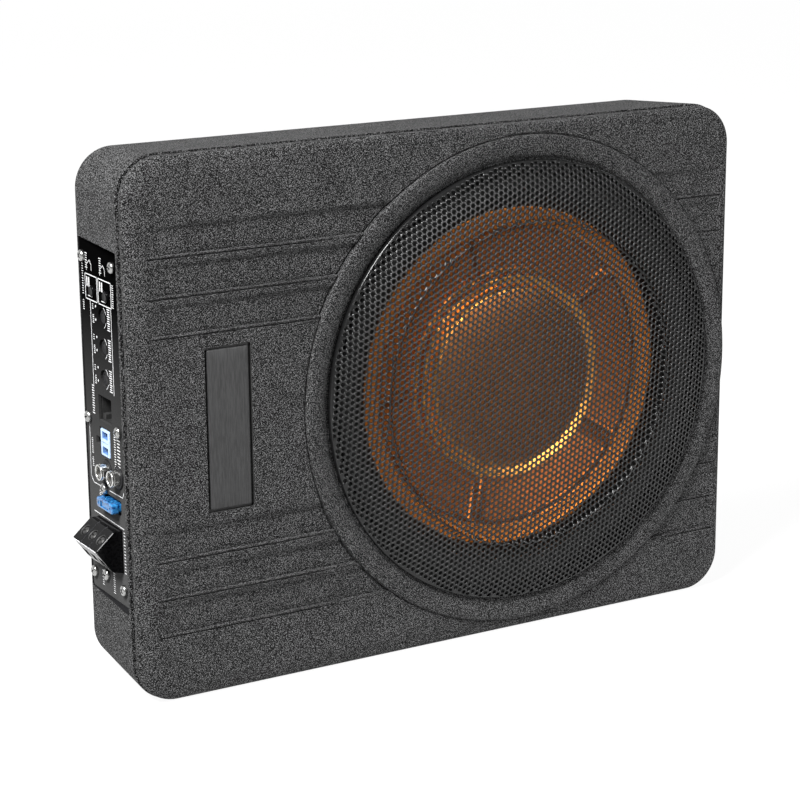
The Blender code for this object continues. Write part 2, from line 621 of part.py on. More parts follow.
def make_fuse():
    """A blade fuse in its holder behind the panel."""
    blades = ((FUSE_Y[0] + 1.6, FUSE_Y[0] + 6.8), (FUSE_Y[1] - 6.8, FUSE_Y[1] - 1.6))
    middle = (FUSE_Z[0] + FUSE_Z[1]) / 2
    body = rounded_rectangle(*FUSE_Y, *FUSE_Z, 1.0, 2)
    fuse = make_object("blade_fuse", add_prism(bmesh.new(), body, "X", FUSE_FACE, 11.7), "fuse", (FUSE_FACE, 34.5, middle))
    legs = bmesh.new()
    for y_range in blades:
        add_box(legs, (11.0, 19.0), y_range, (middle - 0.35, middle + 0.35))
    join(fuse, legs, "fuse_blades")
    holder_y = (FUSE_Y[0] - 1.8, FUSE_Y[1] + 1.8)
    holder_z = (FUSE_Z[0] - 1.7, FUSE_Z[1] + 1.3)
    holder = make_object("fuse_holder", add_box(bmesh.new(), (LEDGE_FACE, 21.7), holder_y, holder_z), "black_plastic")
    socket = add_box(
        bmesh.new(), (5, 12.1), (FUSE_Y[0] - 0.5, FUSE_Y[1] + 0.5), (FUSE_Z[0] - 0.5, FUSE_Z[1] + 0.5)
    )
    cut(holder, socket, "fuse_socket")
    slots = bmesh.new()
    for low, high in blades:
        add_box(slots, (11, 20.0), (low - 0.4, high + 0.4), (middle - 0.8, middle + 0.8))
    cut(holder, slots, "blade_slots")


def screw_face():
    """Middle of the terminal's screw face and its outward direction, as vectors in the x-z plane."""
    top, tip = (Vector((x, 0, z)) for x, z in TERMINAL_OUTLINE[1:3])
    along = (tip - top).normalized()
    return (top + tip) / 2, Vector((along.z, 0, -along.x)), along


def way_places():
    """The middle of each terminal way along y."""
    middle = sum(TERMINAL_Y) / 2
    return [middle + TERMINAL_PITCH * (way - (TERMINAL_WAYS - 1) / 2) for way in range(TERMINAL_WAYS)]


def add_slanted_box(shape, centre, along, across, half_sizes):
    """A box whose edges lie along a direction in the x-z plane, across it in that plane, and along y."""
    half_along, half_across, half_y = half_sizes
    loops = []
    for side in (-half_y, half_y):
        corners = ((-1, -1), (1, -1), (1, 1), (-1, 1))
        loops.append([centre + along * half_along * a + across * half_across * b + AXIS_Y * side for a, b in corners])
    return add_loft(shape, loops)


def make_terminal_block():
    """The three-way power terminal: screw wells in the sloping face, clamp chambers, and wire entries below it."""
    face, outward, along = screw_face()
    shape = add_prism(bmesh.new(), TERMINAL_OUTLINE, "Y", *TERMINAL_Y)
    block = make_object("terminal_block", shape, "black_plastic")
    tip, low = (Vector((x, 0, z)) for x, z in TERMINAL_OUTLINE[2:4])
    wire = Vector((low - tip).normalized())
    wire_in = Vector((-wire.z, 0, wire.x))
    wells, chambers, entries = bmesh.new(), bmesh.new(), bmesh.new()
    for y in way_places():
        base = face + AXIS_Y * y
        add_rod(wells, base, -outward, 3.3, -2.0, 3.0, 16)
        add_slanted_box(chambers, base - outward * 8.75, outward, along, (6.05, 2.9, 4.45))
        meeting = base - outward * WIRE_DEPTH
        add_slanted_box(entries, meeting - wire_in * 5.0, wire_in, wire, (8.0, 2.6, 3.3))
    cut(block, chambers, "clamp_chambers")
    cut(block, wells, "screw_wells")
    cut(block, entries, "wire_entries")


def make_terminal_clamps():
    """Each way's screw, held in its well, and the cage that the screw lifts."""
    face, outward, along = screw_face()
    for number, y in enumerate(way_places(), 1):
        base = face + AXIS_Y * y
        profile = ((0, 0.5), (2.6, 0.5), (2.9, 0.8), (2.9, 2.4), (1.5, 2.4), (1.5, 8.0), (0, 8.0))
        screw = add_turned(bmesh.new(), base, -outward, profile, 12)
        screw = make_object(f"terminal_screw_{number}", screw, "nickel", base)
        slot = add_slanted_box(bmesh.new(), base - outward * 0.6, outward, along, (0.9, 0.45, 3.4))
        cut(screw, slot, f"screw_slot_{number}")
        cage = add_slanted_box(bmesh.new(), base - outward * WIRE_DEPTH, outward, along, (3.7, 2.5, 4.15))
        cage = make_object(f"terminal_clamp_{number}", cage, "zinc", base - outward * WIRE_DEPTH)
        hollow = add_slanted_box(bmesh.new(), base - outward * WIRE_DEPTH, outward, along, (2.5, 4.0, 3.35))
        cut(cage, hollow, f"cage_hollow_{number}")
        cut(cage, add_rod(bmesh.new(), base, -outward, 1.85, 5.0, 9.0, 10), f"cage_thread_{number}")


def make_board():
    """The circuit board behind the panel, and what stands on its inner side."""
    board = add_box(bmesh.new(), (BOARD_X, BOARD_X + BOARD_THICKNESS), (16.0, 55.2), (63.5, 212.5))
    make_object("amp_board", board, "board")
    inner = BOARD_X + BOARD_THICKNESS + GAP
    for number, z in enumerate((76.0, 98.0), 1):
        profile = ((0, inner), (9.0, inner), (9.0, inner + 29), (8.2, inner + 30), (0, inner + 30))
        capacitor = add_turned(bmesh.new(), (0, 36.0, z), AXIS_X, profile, 16)
        make_object(f"capacitor_{number}", capacitor, "black_plastic")
    choke = ((6.0, inner), (14.5, inner), (15.5, inner + 1.5), (15.5, inner + 11), (14.5, inner + 12.5), (6.0, inner + 12.5))
    make_object("choke", add_turned(bmesh.new(), (0, 35.0, 124.5), AXIS_X, choke, 20), "coil")
    for number, z in enumerate((170.0, 196.0), 1):
        package = add_box(bmesh.new(), (31.0, 35.7), (24.0, 44.0), (z - 8, z + 8))
        transistor = make_object(f"transistor_{number}", package, "black_plastic")
        legs = bmesh.new()
        for offset in (-5.0, 0.0, 5.0):
            add_box(legs, (inner, 31.5), (33.0, 33.8), (z + offset - 0.6, z + offset + 0.6))
        join(transistor, legs, f"transistor_legs_{number}")


def make_heatsink():
    """A finned bar that the transistors lie against."""
    base = add_box(bmesh.new(), (36.0, 40.0), (17.0, 54.0), (156.0, 210.0))
    heatsink = make_object("heatsink", base, "aluminium")
    fins = bmesh.new()
    for number in range(7):
        y = 18.0 + number * 5.8
        add_box(fins, (39.5, 56.0), (y, y + 1.6), (156.0, 210.0))
    join(heatsink, fins, "heatsink_fins")


def main():
    clear_scene()
    make_rear_shell()
    make_front_cover()
    make_housing_seal()
    make_badge_plate()
    make_grille()
    make_shell_screws()
    make_driver_gasket()
    make_driver_basket()
    make_motor()
    make_moving_assembly()
    make_surround()
    make_spider()
    make_terminal_tab()
    make_speaker_cable()
    make_control_panel()
    make_panel_screws()
    for label, z in TRIMMERS:
        make_trimmer(label, z)
    for label, y in SWITCHES:
        make_switch(label, y)
    make_remote_jack()
    make_high_level_socket()
    for label, y in RCA_JACKS:
        make_rca_jack(label, y)
    make_fuse()
    make_terminal_block()
    make_terminal_clamps()
    make_board()
    make_heatsink()


main()
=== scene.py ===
from itertools import product
from math import atan2, cos, hypot, pi, radians, sin, sqrt

import bmesh
import bpy
import numpy as np
from mathutils import Matrix, Vector
from mathutils.geometry import delaunay_2d_cdt


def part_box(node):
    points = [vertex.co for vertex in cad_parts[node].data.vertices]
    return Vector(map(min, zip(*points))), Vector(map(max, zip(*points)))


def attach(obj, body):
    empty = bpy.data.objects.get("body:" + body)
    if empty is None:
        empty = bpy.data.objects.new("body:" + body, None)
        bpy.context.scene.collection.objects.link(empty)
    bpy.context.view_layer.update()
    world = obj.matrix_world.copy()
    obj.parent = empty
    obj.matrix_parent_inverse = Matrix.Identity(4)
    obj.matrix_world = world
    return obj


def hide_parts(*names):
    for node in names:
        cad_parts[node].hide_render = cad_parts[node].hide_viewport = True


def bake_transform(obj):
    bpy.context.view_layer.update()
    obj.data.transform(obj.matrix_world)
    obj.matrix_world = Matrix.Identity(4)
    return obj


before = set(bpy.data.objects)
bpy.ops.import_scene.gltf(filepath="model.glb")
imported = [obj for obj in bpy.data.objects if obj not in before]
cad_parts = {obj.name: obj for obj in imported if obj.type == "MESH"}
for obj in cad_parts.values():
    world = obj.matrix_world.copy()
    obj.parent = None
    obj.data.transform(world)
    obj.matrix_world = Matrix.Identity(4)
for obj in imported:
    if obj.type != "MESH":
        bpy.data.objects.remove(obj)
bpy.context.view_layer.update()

# Sizes are in millimetres, from the housing's left face (x), front plane (y, rearwards) and base (z).
MM = 0.001
WIDTH, DEPTH, HEIGHT = 360.0, 67.0, 276.0
CORNER, BACK_CORNER = 21.7, 20.0
CORNER_STEPS = 14
DRAFTS = (4.1, 4.6, 4.0, 3.0)
COVER_BACK, SHELL_FRONT = 5.8, 7.2
BACK_BEVEL, WALL = 2.6, 3.5
DRIVER_X, DRIVER_Z = 227.3, 137.5
RING_OUTER, LIP_INNER = 131.4, 113.0
AXIS_X, AXIS_Y = Vector((1, 0, 0)), Vector((0, 1, 0))
PANEL_FACE = 4.4
INK = (PANEL_FACE - 0.05, PANEL_FACE + 0.02)
LATTICE_TILT = (0.61, 0.43, 0.77)
CORNER_WALK = ((0, 0), (1, 0), (1, 1), (0, 1))
FINISHES = {}

SHELL_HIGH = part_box("rear_shell")[1]
COVER_LOW, COVER_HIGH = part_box("front_cover")
ORIGIN = Vector((COVER_HIGH[0] - WIDTH * MM, SHELL_HIGH[1] - DEPTH * MM, COVER_LOW[2]))


def place(x, y, z):
    """A point in housing millimetres as a point of the frame, in metres."""
    return ORIGIN + Vector((x, y, z)) * MM


def around_driver(radius, angle):
    """The (x, z) of a point at this radius and angle from the driver's axis."""
    return DRIVER_X + radius * cos(angle), DRIVER_Z + radius * sin(angle)


def turns_of(count):
    return [2 * pi * i / count for i in range(count)]


def smooth(t):
    t = min(1.0, max(0.0, t))
    return t * t * (3 - 2 * t)


# --- camera, light and floor ---


CAMERA_AT, CAMERA_TARGET = place(-425.7, -986.1, 439.9), place(150.7, 0.0, 138.4)
CAMERA_ROLL, LENS, SENSOR = radians(-0.466), 103.6, 36.0
WORLD_STRENGTH = 0.36
GLOW_FAR, GLOW_NEAR, GLOW_DIM, GLOW_FULL = -620.0, -310.0, 0.22, 0.94
SWEEP_FRONT, SWEEP_BACK, SWEEP_BEND, SWEEP_TOP = -4000.0, 3200.0, 900.0, 3600.0
SWEEP_SIDES = (-5000.0, 5400.0)


def add_camera():
    forward = (CAMERA_TARGET - CAMERA_AT).normalized()
    right = forward.cross(Vector((0, 0, 1))).normalized()
    up = right.cross(forward)
    turned_right = right * cos(CAMERA_ROLL) + up * sin(CAMERA_ROLL)
    turned_up = -right * sin(CAMERA_ROLL) + up * cos(CAMERA_ROLL)
    data = bpy.data.cameras.new("camera")
    data.lens, data.sensor_width = LENS, SENSOR
    data.clip_start, data.clip_end = 0.05, 60.0
    camera = bpy.data.objects.new("camera", data)
    bpy.context.scene.collection.objects.link(camera)
    matrix = Matrix((turned_right, turned_up, -forward)).transposed().to_4x4()
    matrix.translation = CAMERA_AT
    camera.matrix_world = matrix
    bpy.context.scene.camera = camera


def add_area(name, location, target, size, power):
    data = bpy.data.lights.new(name, "AREA")
    data.shape = "RECTANGLE"
    data.size, data.size_y = size
    data.energy = power
    lamp = bpy.data.objects.new(name, data)
    lamp.location = location
    lamp.rotation_euler = (Vector(target) - Vector(location)).to_track_quat("-Z", "Y").to_euler()
    bpy.context.scene.collection.objects.link(lamp)


def add_stage():
    world = bpy.data.worlds.new("studio")
    world.use_nodes = True
    background = world.node_tree.nodes["Background"]
    background.inputs["Color"].default_value = (1.0, 1.0, 1.0, 1)
    background.inputs["Strength"].default_value = WORLD_STRENGTH
    scene = bpy.context.scene
    scene.world = world
    scene.view_settings.view_transform = "Standard"

    floor_finish, _, shader = blank_material("stage_white")
    shader.inputs["Base Color"].default_value = (0.08, 0.08, 0.08, 1)
    shader.inputs["Roughness"].default_value = 0.95
    shader.inputs["Specular IOR Level"].default_value = 0.0
    shader.inputs["Emission Color"].default_value = (1, 1, 1, 1)
    tree = floor_finish.node_tree
    split = tree.nodes.new("ShaderNodeSeparateXYZ")
    tree.links.new(coordinates(tree, turned=False), split.inputs["Vector"])
    glow = spread(tree, split.outputs["Y"], GLOW_FAR, GLOW_NEAR, GLOW_DIM, GLOW_FULL)
    tree.links.new(glow, shader.inputs["Emission Strength"])
    FINISHES["floor"] = floor_finish
    shape = bmesh.new()
    bend = [pi / 2 * i / 12 for i in range(13)]
    sweep = [(SWEEP_FRONT, 0.0)]
    sweep += [(SWEEP_BACK + SWEEP_BEND * sin(a), SWEEP_BEND * (1 - cos(a))) for a in bend]
    sweep += [(SWEEP_BACK + SWEEP_BEND, SWEEP_TOP)]
    rows = [[shape.verts.new((x, y, z)) for x in SWEEP_SIDES] for y, z in sweep]
    for low, high in zip(rows, rows[1:]):
        shape.faces.new((low[0], low[1], high[1], high[0]))
    floor = finish_mesh("stage_sweep", shape, ["floor"], 60)

    add_area("key", (-1.05, -0.47, 1.42), (0.0, 0.0, 0.16), (0.6, 0.6), 104.0)
    add_area("front_sheen", (0.82, -2.35, 0.36), (0.0, 0.0, 0.14), (1.0, 0.6), 38.0)


# --- materials ---


def blank_material(name):
    made = bpy.data.materials.new(name)
    made.use_nodes = True
    tree = made.node_tree
    return made, tree, tree.nodes["Principled BSDF"]


def coordinates(tree, stretch=(1, 1, 1), turned=True):
    """Object coordinates in millimetres, stretched."""
    source = tree.nodes.new("ShaderNodeTexCoord")
    mapping = tree.nodes.new("ShaderNodeMapping")
    mapping.inputs["Scale"].default_value = [s / MM for s in stretch]
    if stretch == (1, 1, 1) and turned:
        mapping.inputs["Rotation"].default_value = LATTICE_TILT
    tree.links.new(source.outputs["Object"], mapping.inputs["Vector"])
    return mapping.outputs["Vector"]


def noise(tree, vector, grain, detail=2.0, roughness=0.55):
    node = tree.nodes.new("ShaderNodeTexNoise")
    node.inputs["Scale"].default_value = 1.0 / grain
    node.inputs["Detail"].default_value = detail
    node.inputs["Roughness"].default_value = roughness
    tree.links.new(vector, node.inputs["Vector"])
    return node.outputs["Fac"]


def cells(tree, vector, size):
    node = tree.nodes.new("ShaderNodeTexVoronoi")
    node.inputs["Scale"].default_value = 1.0 / size
    tree.links.new(vector, node.inputs["Vector"])
    return node.outputs["Distance"]


def ramp(tree, value, stops):
    node = tree.nodes.new("ShaderNodeValToRGB")
    elements = node.color_ramp.elements
    while len(elements) < len(stops):
        elements.new(0.5)
    for element, (position, colour) in zip(elements, stops):
        element.position = position
        element.color = (*colour, 1)
    tree.links.new(value, node.inputs["Fac"])
    return node.outputs["Color"]


def spread(tree, value, low, high, out_low, out_high):
    node = tree.nodes.new("ShaderNodeMapRange")
    for key, number in (("From Min", low), ("From Max", high), ("To Min", out_low), ("To Max", out_high)):
        node.inputs[key].default_value = number
    tree.links.new(value, node.inputs["Value"])
    return node.outputs["Result"]


def blend_values(tree, first, second, operation):
    node = tree.nodes.new("ShaderNodeMath")
    node.operation = operation
    for slot, value in zip(node.inputs, (first, second)):
        if isinstance(value, (int, float)):
            slot.default_value = value
        else:
            tree.links.new(value, slot)
    return node.outputs["Value"]


def bump(tree, shader, height, depth):
    node = tree.nodes.new("ShaderNodeBump")
    node.inputs["Distance"].default_value = depth * MM
    tree.links.new(height, node.inputs["Height"])
    tree.links.new(node.outputs["Normal"], shader.inputs["Normal"])


def finish(name, dark, light, grain, rough, metallic=0.0, depth=0.02, stretch=(1, 1, 1), specular=0.5):
    """A moulded, painted, cast or plated finish: two tones, uneven gloss and a fine relief."""
    made, tree, shader = blank_material(name)
    vector = coordinates(tree, stretch)
    value = noise(tree, vector, grain, 3.0)
    tone = ramp(tree, value, ((0.38, dark), (0.62, light)))
    tree.links.new(tone, shader.inputs["Base Color"])
    slow = noise(tree, vector, grain * 9, 2.0)
    tree.links.new(spread(tree, slow, 0.3, 0.7, *rough), shader.inputs["Roughness"])
    shader.inputs["Metallic"].default_value = metallic
    shader.inputs["Specular IOR Level"].default_value = specular
    bump(tree, shader, value, depth)
    return made


def panel_finish():
    """Thin satin enamel, greyer towards the foot of the panel: a painted reflection of the light floor."""
    made, tree, shader = blank_material("panel_enamel")
    vector = coordinates(tree, turned=False)
    grain = noise(tree, vector, 0.35, 3.0)
    split = tree.nodes.new("ShaderNodeSeparateXYZ")
    tree.links.new(vector, split.inputs["Vector"])
    # Painted reflection: the base colour lightens towards the panel's foot, standing in for the floor
    # mirrored there.
    painted_floor_sheen = spread(tree, split.outputs["Z"], 80.0, 200.0, 0.046, 0.001)
    tone = blend_values(tree, painted_floor_sheen, spread(tree, grain, 0.35, 0.65, 0.75, 1.3), "MULTIPLY")
    tree.links.new(tone, shader.inputs["Base Color"])
    tree.links.new(spread(tree, grain, 0.3, 0.7, 0.42, 0.56), shader.inputs["Roughness"])
    shader.inputs["Specular IOR Level"].default_value = 0.0
    bump(tree, shader, grain, 0.012)
    return made


def housing_finish(name, grain, relief):
    """Sprayed, pebbled charcoal coat over the moulding: fine dark pits and pale specks."""
    made, tree, shader = blank_material(name)
    vector = coordinates(tree)
    fine = noise(tree, vector, 1.08 * grain, 2.0, 0.6)
    pebble = cells(tree, vector, 1.8 * grain)
    wide = noise(tree, vector, 14.0, 3.0)
    height = blend_values(tree, blend_values(tree, fine, 1.3, "MULTIPLY"), pebble, "SUBTRACT")
    speck = noise(tree, vector, grain, 1.0, 0.5)
    specks = blend_values(tree, speck, 0.75, "MULTIPLY")
    mixed = blend_values(tree, specks, blend_values(tree, fine, 0.25, "MULTIPLY"), "ADD")
    mottled = blend_values(tree, mixed, spread(tree, wide, 0.3, 0.7, -0.008, 0.008), "ADD")
    tone = ramp(tree, mottled, (
        (0.44, (0.0002, 0.0002, 0.0002)), (0.49, (0.0042, 0.0042, 0.0043)), (0.53, (0.0165, 0.0165, 0.0167)),
        (0.57, (0.099, 0.099, 0.1)),
    ))
    tree.links.new(tone, shader.inputs["Base Color"])
    tree.links.new(spread(tree, fine, 0.35, 0.65, 0.75, 0.55), shader.inputs["Roughness"])
    shader.inputs["Specular IOR Level"].default_value = 0.12
    bump(tree, shader, height, relief)
    return made


def amber_finish():
    """Copper-coloured anodised metal, spun: fine rings round the driver's axis and slow cloudiness."""
    made, tree, shader = blank_material("amber_metal")
    source = tree.nodes.new("ShaderNodeTexCoord")
    shift = tree.nodes.new("ShaderNodeVectorMath")
    shift.operation = "SUBTRACT"
    shift.inputs[1].default_value = place(DRIVER_X, 0, DRIVER_Z)
    tree.links.new(source.outputs["Object"], shift.inputs[0])
    flat = tree.nodes.new("ShaderNodeVectorMath")
    flat.operation = "MULTIPLY"
    flat.inputs[1].default_value = (1, 0, 1)
    tree.links.new(shift.outputs["Vector"], flat.inputs[0])
    length = tree.nodes.new("ShaderNodeVectorMath")
    length.operation = "LENGTH"
    tree.links.new(flat.outputs["Vector"], length.inputs[0])
    rings = tree.nodes.new("ShaderNodeTexNoise")
    rings.noise_dimensions = "1D"
    rings.inputs["Scale"].default_value = 1.0 / (0.5 * MM)
    rings.inputs["Detail"].default_value = 2.0
    tree.links.new(length.outputs["Value"], rings.inputs["W"])
    cloud = noise(tree, coordinates(tree), 16.0, 3.0)
    drift = spread(tree, cloud, 0.3, 0.7, -0.0006, 0.0006)
    place_out = blend_values(tree, length.outputs["Value"], drift, "ADD")
    share = spread(tree, place_out, 0.0, 100 * MM, 0.0, 1.0)
    brown, collar_painted_highlight = (0.35, 0.12, 0.028), (1.0, 0.42, 0.075)
    dim, band = (0.44, 0.120, 0.018), (0.62, 0.19, 0.028)
    # The collar ring (r 49 to 56) gets a lighter tone all round: a painted highlight for the floor mirrored
    # in the collar.
    tone = ramp(tree, share, (
        (0.470, brown), (0.490, collar_painted_highlight), (0.560, collar_painted_highlight), (0.585, dim), (0.790, dim), (0.812, band),
    ))
    tree.links.new(tone, shader.inputs["Base Color"])
    tree.links.new(spread(tree, rings.outputs["Fac"], 0.3, 0.7, 0.22, 0.34), shader.inputs["Roughness"])
    shader.inputs["Metallic"].default_value = 0.9
    bump(tree, shader, rings.outputs["Fac"], 0.012)
    return made


def fuse_finish():
    made, tree, shader = blank_material("fuse_blue")
    vector = coordinates(tree)
    cloud = noise(tree, vector, 1.6, 2.0)
    tone = ramp(tree, cloud, ((0.36, (0.001, 0.035, 0.15)), (0.66, (0.03, 0.22, 0.50))))
    tree.links.new(tone, shader.inputs["Base Color"])
    tree.links.new(spread(tree, cloud, 0.3, 0.7, 0.10, 0.22), shader.inputs["Roughness"])
    shader.inputs["Transmission Weight"].default_value = 0.35
    shader.inputs["Coat Weight"].default_value = 0.4
    bump(tree, shader, cloud, 0.03)
    return made


def grey(low, high, tint=0.0):
    """Two neutral tones, a little bluer with a positive tint."""
    return [(level, level, level * (1 + tint)) for level in (low, high)]


def make_materials():
    """Every finish that the pieces use, under the key that they name it by."""
    FINISHES.update({
        "housing": housing_finish("pebbled_charcoal", 0.47, 0.36),
        "tub": housing_finish("pebbled_charcoal_tub", 0.62, 0.7),
        "panel": panel_finish(),
        "amber": amber_finish(),
        "fuse": fuse_finish(),
        "badge": finish("badge_satin", *grey(0.0203, 0.0313, 0.015), 0.5, (0.36, 0.50), depth=0.004,
                        stretch=(1, 1, 0.08), specular=0.15),
        "grille": finish("grille_enamel", *grey(0.003, 0.008, 0.025), 0.4, (0.15, 0.24), depth=0.012,
                         specular=0.34),
        "ink": finish("printed_white", *grey(0.32, 0.56, 0.012), 0.5, (0.5, 0.7), depth=0.004),
        "seal": finish("seal_foam", *grey(0.003, 0.012), 0.4, (0.85, 0.98), depth=0.12),
        "steel": finish("pressed_steel", *grey(0.42, 0.62, 0.01), 0.8, (0.26, 0.42), 1.0, 0.01),
        "nickel": finish("bright_nickel", *grey(0.495, 0.735, -0.025), 0.7, (0.14, 0.26), 1.0, 0.006),
        "screw": finish("screw_plating", *grey(0.30, 0.50, -0.02), 0.5, (0.18, 0.30), 1.0, 0.008),
        "zinc": finish("zinc_plate", *grey(0.40, 0.61, -0.05), 0.9, (0.28, 0.44), 1.0, 0.012),
        "gold": finish("contact_gold", (0.70, 0.48, 0.16), (0.88, 0.64, 0.26), 0.5, (0.18, 0.3), 1.0, 0.004),
        "aluminium": finish("extruded_aluminium", *grey(0.55, 0.78, 0.015), 0.5, (0.26, 0.42), 1.0, 0.01,
                            stretch=(1, 1, 0.05)),
        "rubber": finish("surround_rubber", *grey(0.004, 0.014), 0.7, (0.5, 0.7), depth=0.03, specular=0.25),
        "ferrite": finish("ferrite_grey", *grey(0.018, 0.050, 0.08), 0.6, (0.5, 0.7), depth=0.05),
        "copper": finish("coil_copper", (0.42, 0.15, 0.05), (0.66, 0.28, 0.11), 0.3, (0.22, 0.38), 0.9, 0.03,
                         stretch=(0.2, 1, 0.2)),
        "cloth": finish("spider_cloth", (0.30, 0.19, 0.05), (0.56, 0.40, 0.13), 0.35, (0.8, 0.95), depth=0.1),
        "gloss": finish("gloss_black", *grey(0.0012, 0.003, 0.07), 1.2, (0.08, 0.16), depth=0.012,
                        specular=0.07),
        # Dark steel for the clamp screw heads: painted shade of the screws down in their wells.
        "shaded_head_steel": finish("head_steel_painted_shade", *grey(0.03, 0.07), 0.5, (0.3, 0.45), 0.8, 0.01),
        # Moulded black for black parts, and also painted shade on the walls of the panel's pocket.
        "matt": finish("moulded_black_and_painted_shade", *grey(0.004, 0.012, 0.08), 0.5, (0.42, 0.6), specular=0.12),
        # Pale grey for the strips on the terminal's tip edges: painted edge highlights.
        "pale": finish("painted_edge_highlight_grey", *grey(0.35, 0.56, 0.03), 0.6, (0.3, 0.45), depth=0.01),
        "nylon": finish("nylon_white", (0.22, 0.31, 0.46), (0.34, 0.43, 0.58), 0.8, (0.36, 0.5), depth=0.01),
        "nylon_pocket_painted_shade": finish("nylon_pocket_painted_shade", (0.06, 0.13, 0.30), (0.12, 0.22, 0.42), 0.8, (0.36, 0.5),
                             depth=0.01),
        "board": finish("solder_mask_green", (0.004, 0.050, 0.020), (0.012, 0.11, 0.045), 2.2, (0.26, 0.42),
                        depth=0.03),
        # Deep black for black parts, and also painted shade in the badge recess, screw recesses, dial slots
        # and terminal wells.
        "dark": finish("deep_black_and_painted_shade", *grey(0.002, 0.006), 0.6, (0.6, 0.8), depth=0.02),
    })


# --- mesh tools ---


def finish_mesh(name, shape, keys, sharp=32, recalculate=False):
    """A mesh in housing millimetres as an object of the scene, in the finishes with these keys."""
    if recalculate:
        bmesh.ops.recalc_face_normals(shape, faces=shape.faces)
    mesh = bpy.data.meshes.new(name)
    shape.to_mesh(mesh)
    shape.free()
    mesh.transform(Matrix.Translation(ORIGIN) @ Matrix.Scale(MM, 4))
    mesh.shade_smooth()
    mesh.set_sharp_from_angle(angle=radians(sharp))
    for key in keys:
        mesh.materials.append(FINISHES[key])
    made = bpy.data.objects.new(name, mesh)
    bpy.context.scene.collection.objects.link(made)
    return made


def settle(made, body="housing", replaces=()):
    """Rides the piece on its body and hides the CAD nodes that it stands for."""
    if body:
        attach(made, body)
    if replaces:
        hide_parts(*replaces)
    return made


def weigh_normals(made):
    modifier = made.modifiers.new("weighted_normals", "WEIGHTED_NORMAL")
    modifier.keep_sharp = True
    modifier.mode = "FACE_AREA"


def bridge(shape, one, other):
    """Quads between two rings of equally many vertices."""
    for i in range(len(one)):
        j = (i + 1) % len(one)
        shape.faces.new((one[i], one[j], other[j], other[i]))


def add_loft(shape, loops, closed=False):
    """Skin through loops of equally many points, with caps on its ends or joined end to end."""
    rings = [[shape.verts.new(point) for point in loop] for loop in loops]
    for one, other in zip(rings, rings[1:] + (rings[:1] if closed else [])):
        bridge(shape, one, other)
    if not closed:
        shape.faces.new(rings[0][::-1])
        shape.faces.new(rings[-1])


def add_box(shape, x_range, y_range, z_range):
    add_loft(shape, [[(x_range[i], y_range[j], z) for i, j in CORNER_WALK] for z in z_range])


def add_prism(shape, outline, low, high):
    """A prism along x over a (y, z) outline."""
    add_loft(shape, [[(x, y, z) for y, z in outline] for x in (low, high)])


def add_turned(shape, base, axis, profile, segments=48, material=0):
    """A turned body through (radius, height) pairs: closed on itself, or solid with both ends on the axis."""
    base = Vector(base)
    to_axis = Vector((0, 0, 1)).rotation_difference(Vector(axis)).to_matrix()
    rings = []
    for radius, height in profile:
        if radius < 1e-6:
            rings.append([shape.verts.new(base + to_axis @ Vector((0, 0, height)))] * segments)
            continue
        ring = [Vector((radius * cos(a), radius * sin(a), height)) for a in turns_of(segments)]
        rings.append([shape.verts.new(base + to_axis @ point) for point in ring])
    solid = profile[0][0] < 1e-6 and profile[-1][0] < 1e-6
    for one, other in zip(rings, rings[1:] if solid else rings[1:] + rings[:1]):
        for i in range(segments):
            j = (i + 1) % segments
            corners = list(dict.fromkeys((one[i], one[j], other[j], other[i])))
            if len(corners) > 2:
                shape.faces.new(corners).material_index = material


def turn_shape(shape, centre, angle, axis):
    bmesh.ops.rotate(shape, cent=centre, matrix=Matrix.Rotation(angle, 3, axis), verts=shape.verts)


def rounded(profile, radius, steps=3):
    """The open profile with its inner corners rounded."""
    found = [profile[0]]
    for previous, point, following in zip(profile, profile[1:], profile[2:]):
        here = Vector(point)
        before, after = Vector(previous) - here, Vector(following) - here
        reach = min(radius, before.length * 0.45, after.length * 0.45)
        start, end = here + before.normalized() * reach, here + after.normalized() * reach
        for step in range(steps + 1):
            t = step / steps
            found.append(tuple(start * (1 - t) ** 2 + here * 2 * t * (1 - t) + end * t * t))
    return [*found, profile[-1]]


def rectangle(low_a, high_a, low_b, high_b, radius, steps=CORNER_STEPS):
    centres = (
        (high_a - radius, high_b - radius), (low_a + radius, high_b - radius),
        (low_a + radius, low_b + radius), (high_a - radius, low_b + radius),
    )
    points = []
    for corner, (a, b) in enumerate(centres):
        for step in range(steps + 1):
            angle = pi / 2 * (corner + step / steps)
            points.append((a + radius * cos(angle), b + radius * sin(angle)))
    return points


def housing_outline(y, inset=0.0):
    share = max(0.0, (y - SHELL_FRONT) / (DEPTH - SHELL_FRONT))
    left, right, top, bottom = (share * draft for draft in DRAFTS)
    radius = CORNER + share * (BACK_CORNER - CORNER) - inset
    return rectangle(left + inset, WIDTH - right - inset, bottom + inset, HEIGHT - top - inset, radius)


def housing_loop(y, inset=0.0):
    return [(x, y, z) for x, z in housing_outline(y, inset)]


def boolean(target, shape, operation="DIFFERENCE", material=None):
    """Cuts or joins a shape at once. The helper is gone afterwards."""
    helper = finish_mesh("helper", shape, [material] if material else [], 30, True)
    modifier = target.modifiers.new("boolean", "BOOLEAN")
    modifier.operation, modifier.solver, modifier.object = operation, "EXACT", helper
    if material:
        modifier.material_mode = "TRANSFER"
    graph = bpy.context.evaluated_depsgraph_get()
    mesh = bpy.data.meshes.new_from_object(target.evaluated_get(graph))
    target.modifiers.clear()
    target.data = mesh
    used = helper.data
    bpy.data.objects.remove(helper)
    bpy.data.meshes.remove(used)
    mesh.shade_smooth()
    mesh.set_sharp_from_angle(angle=radians(32))


# --- front cover ---

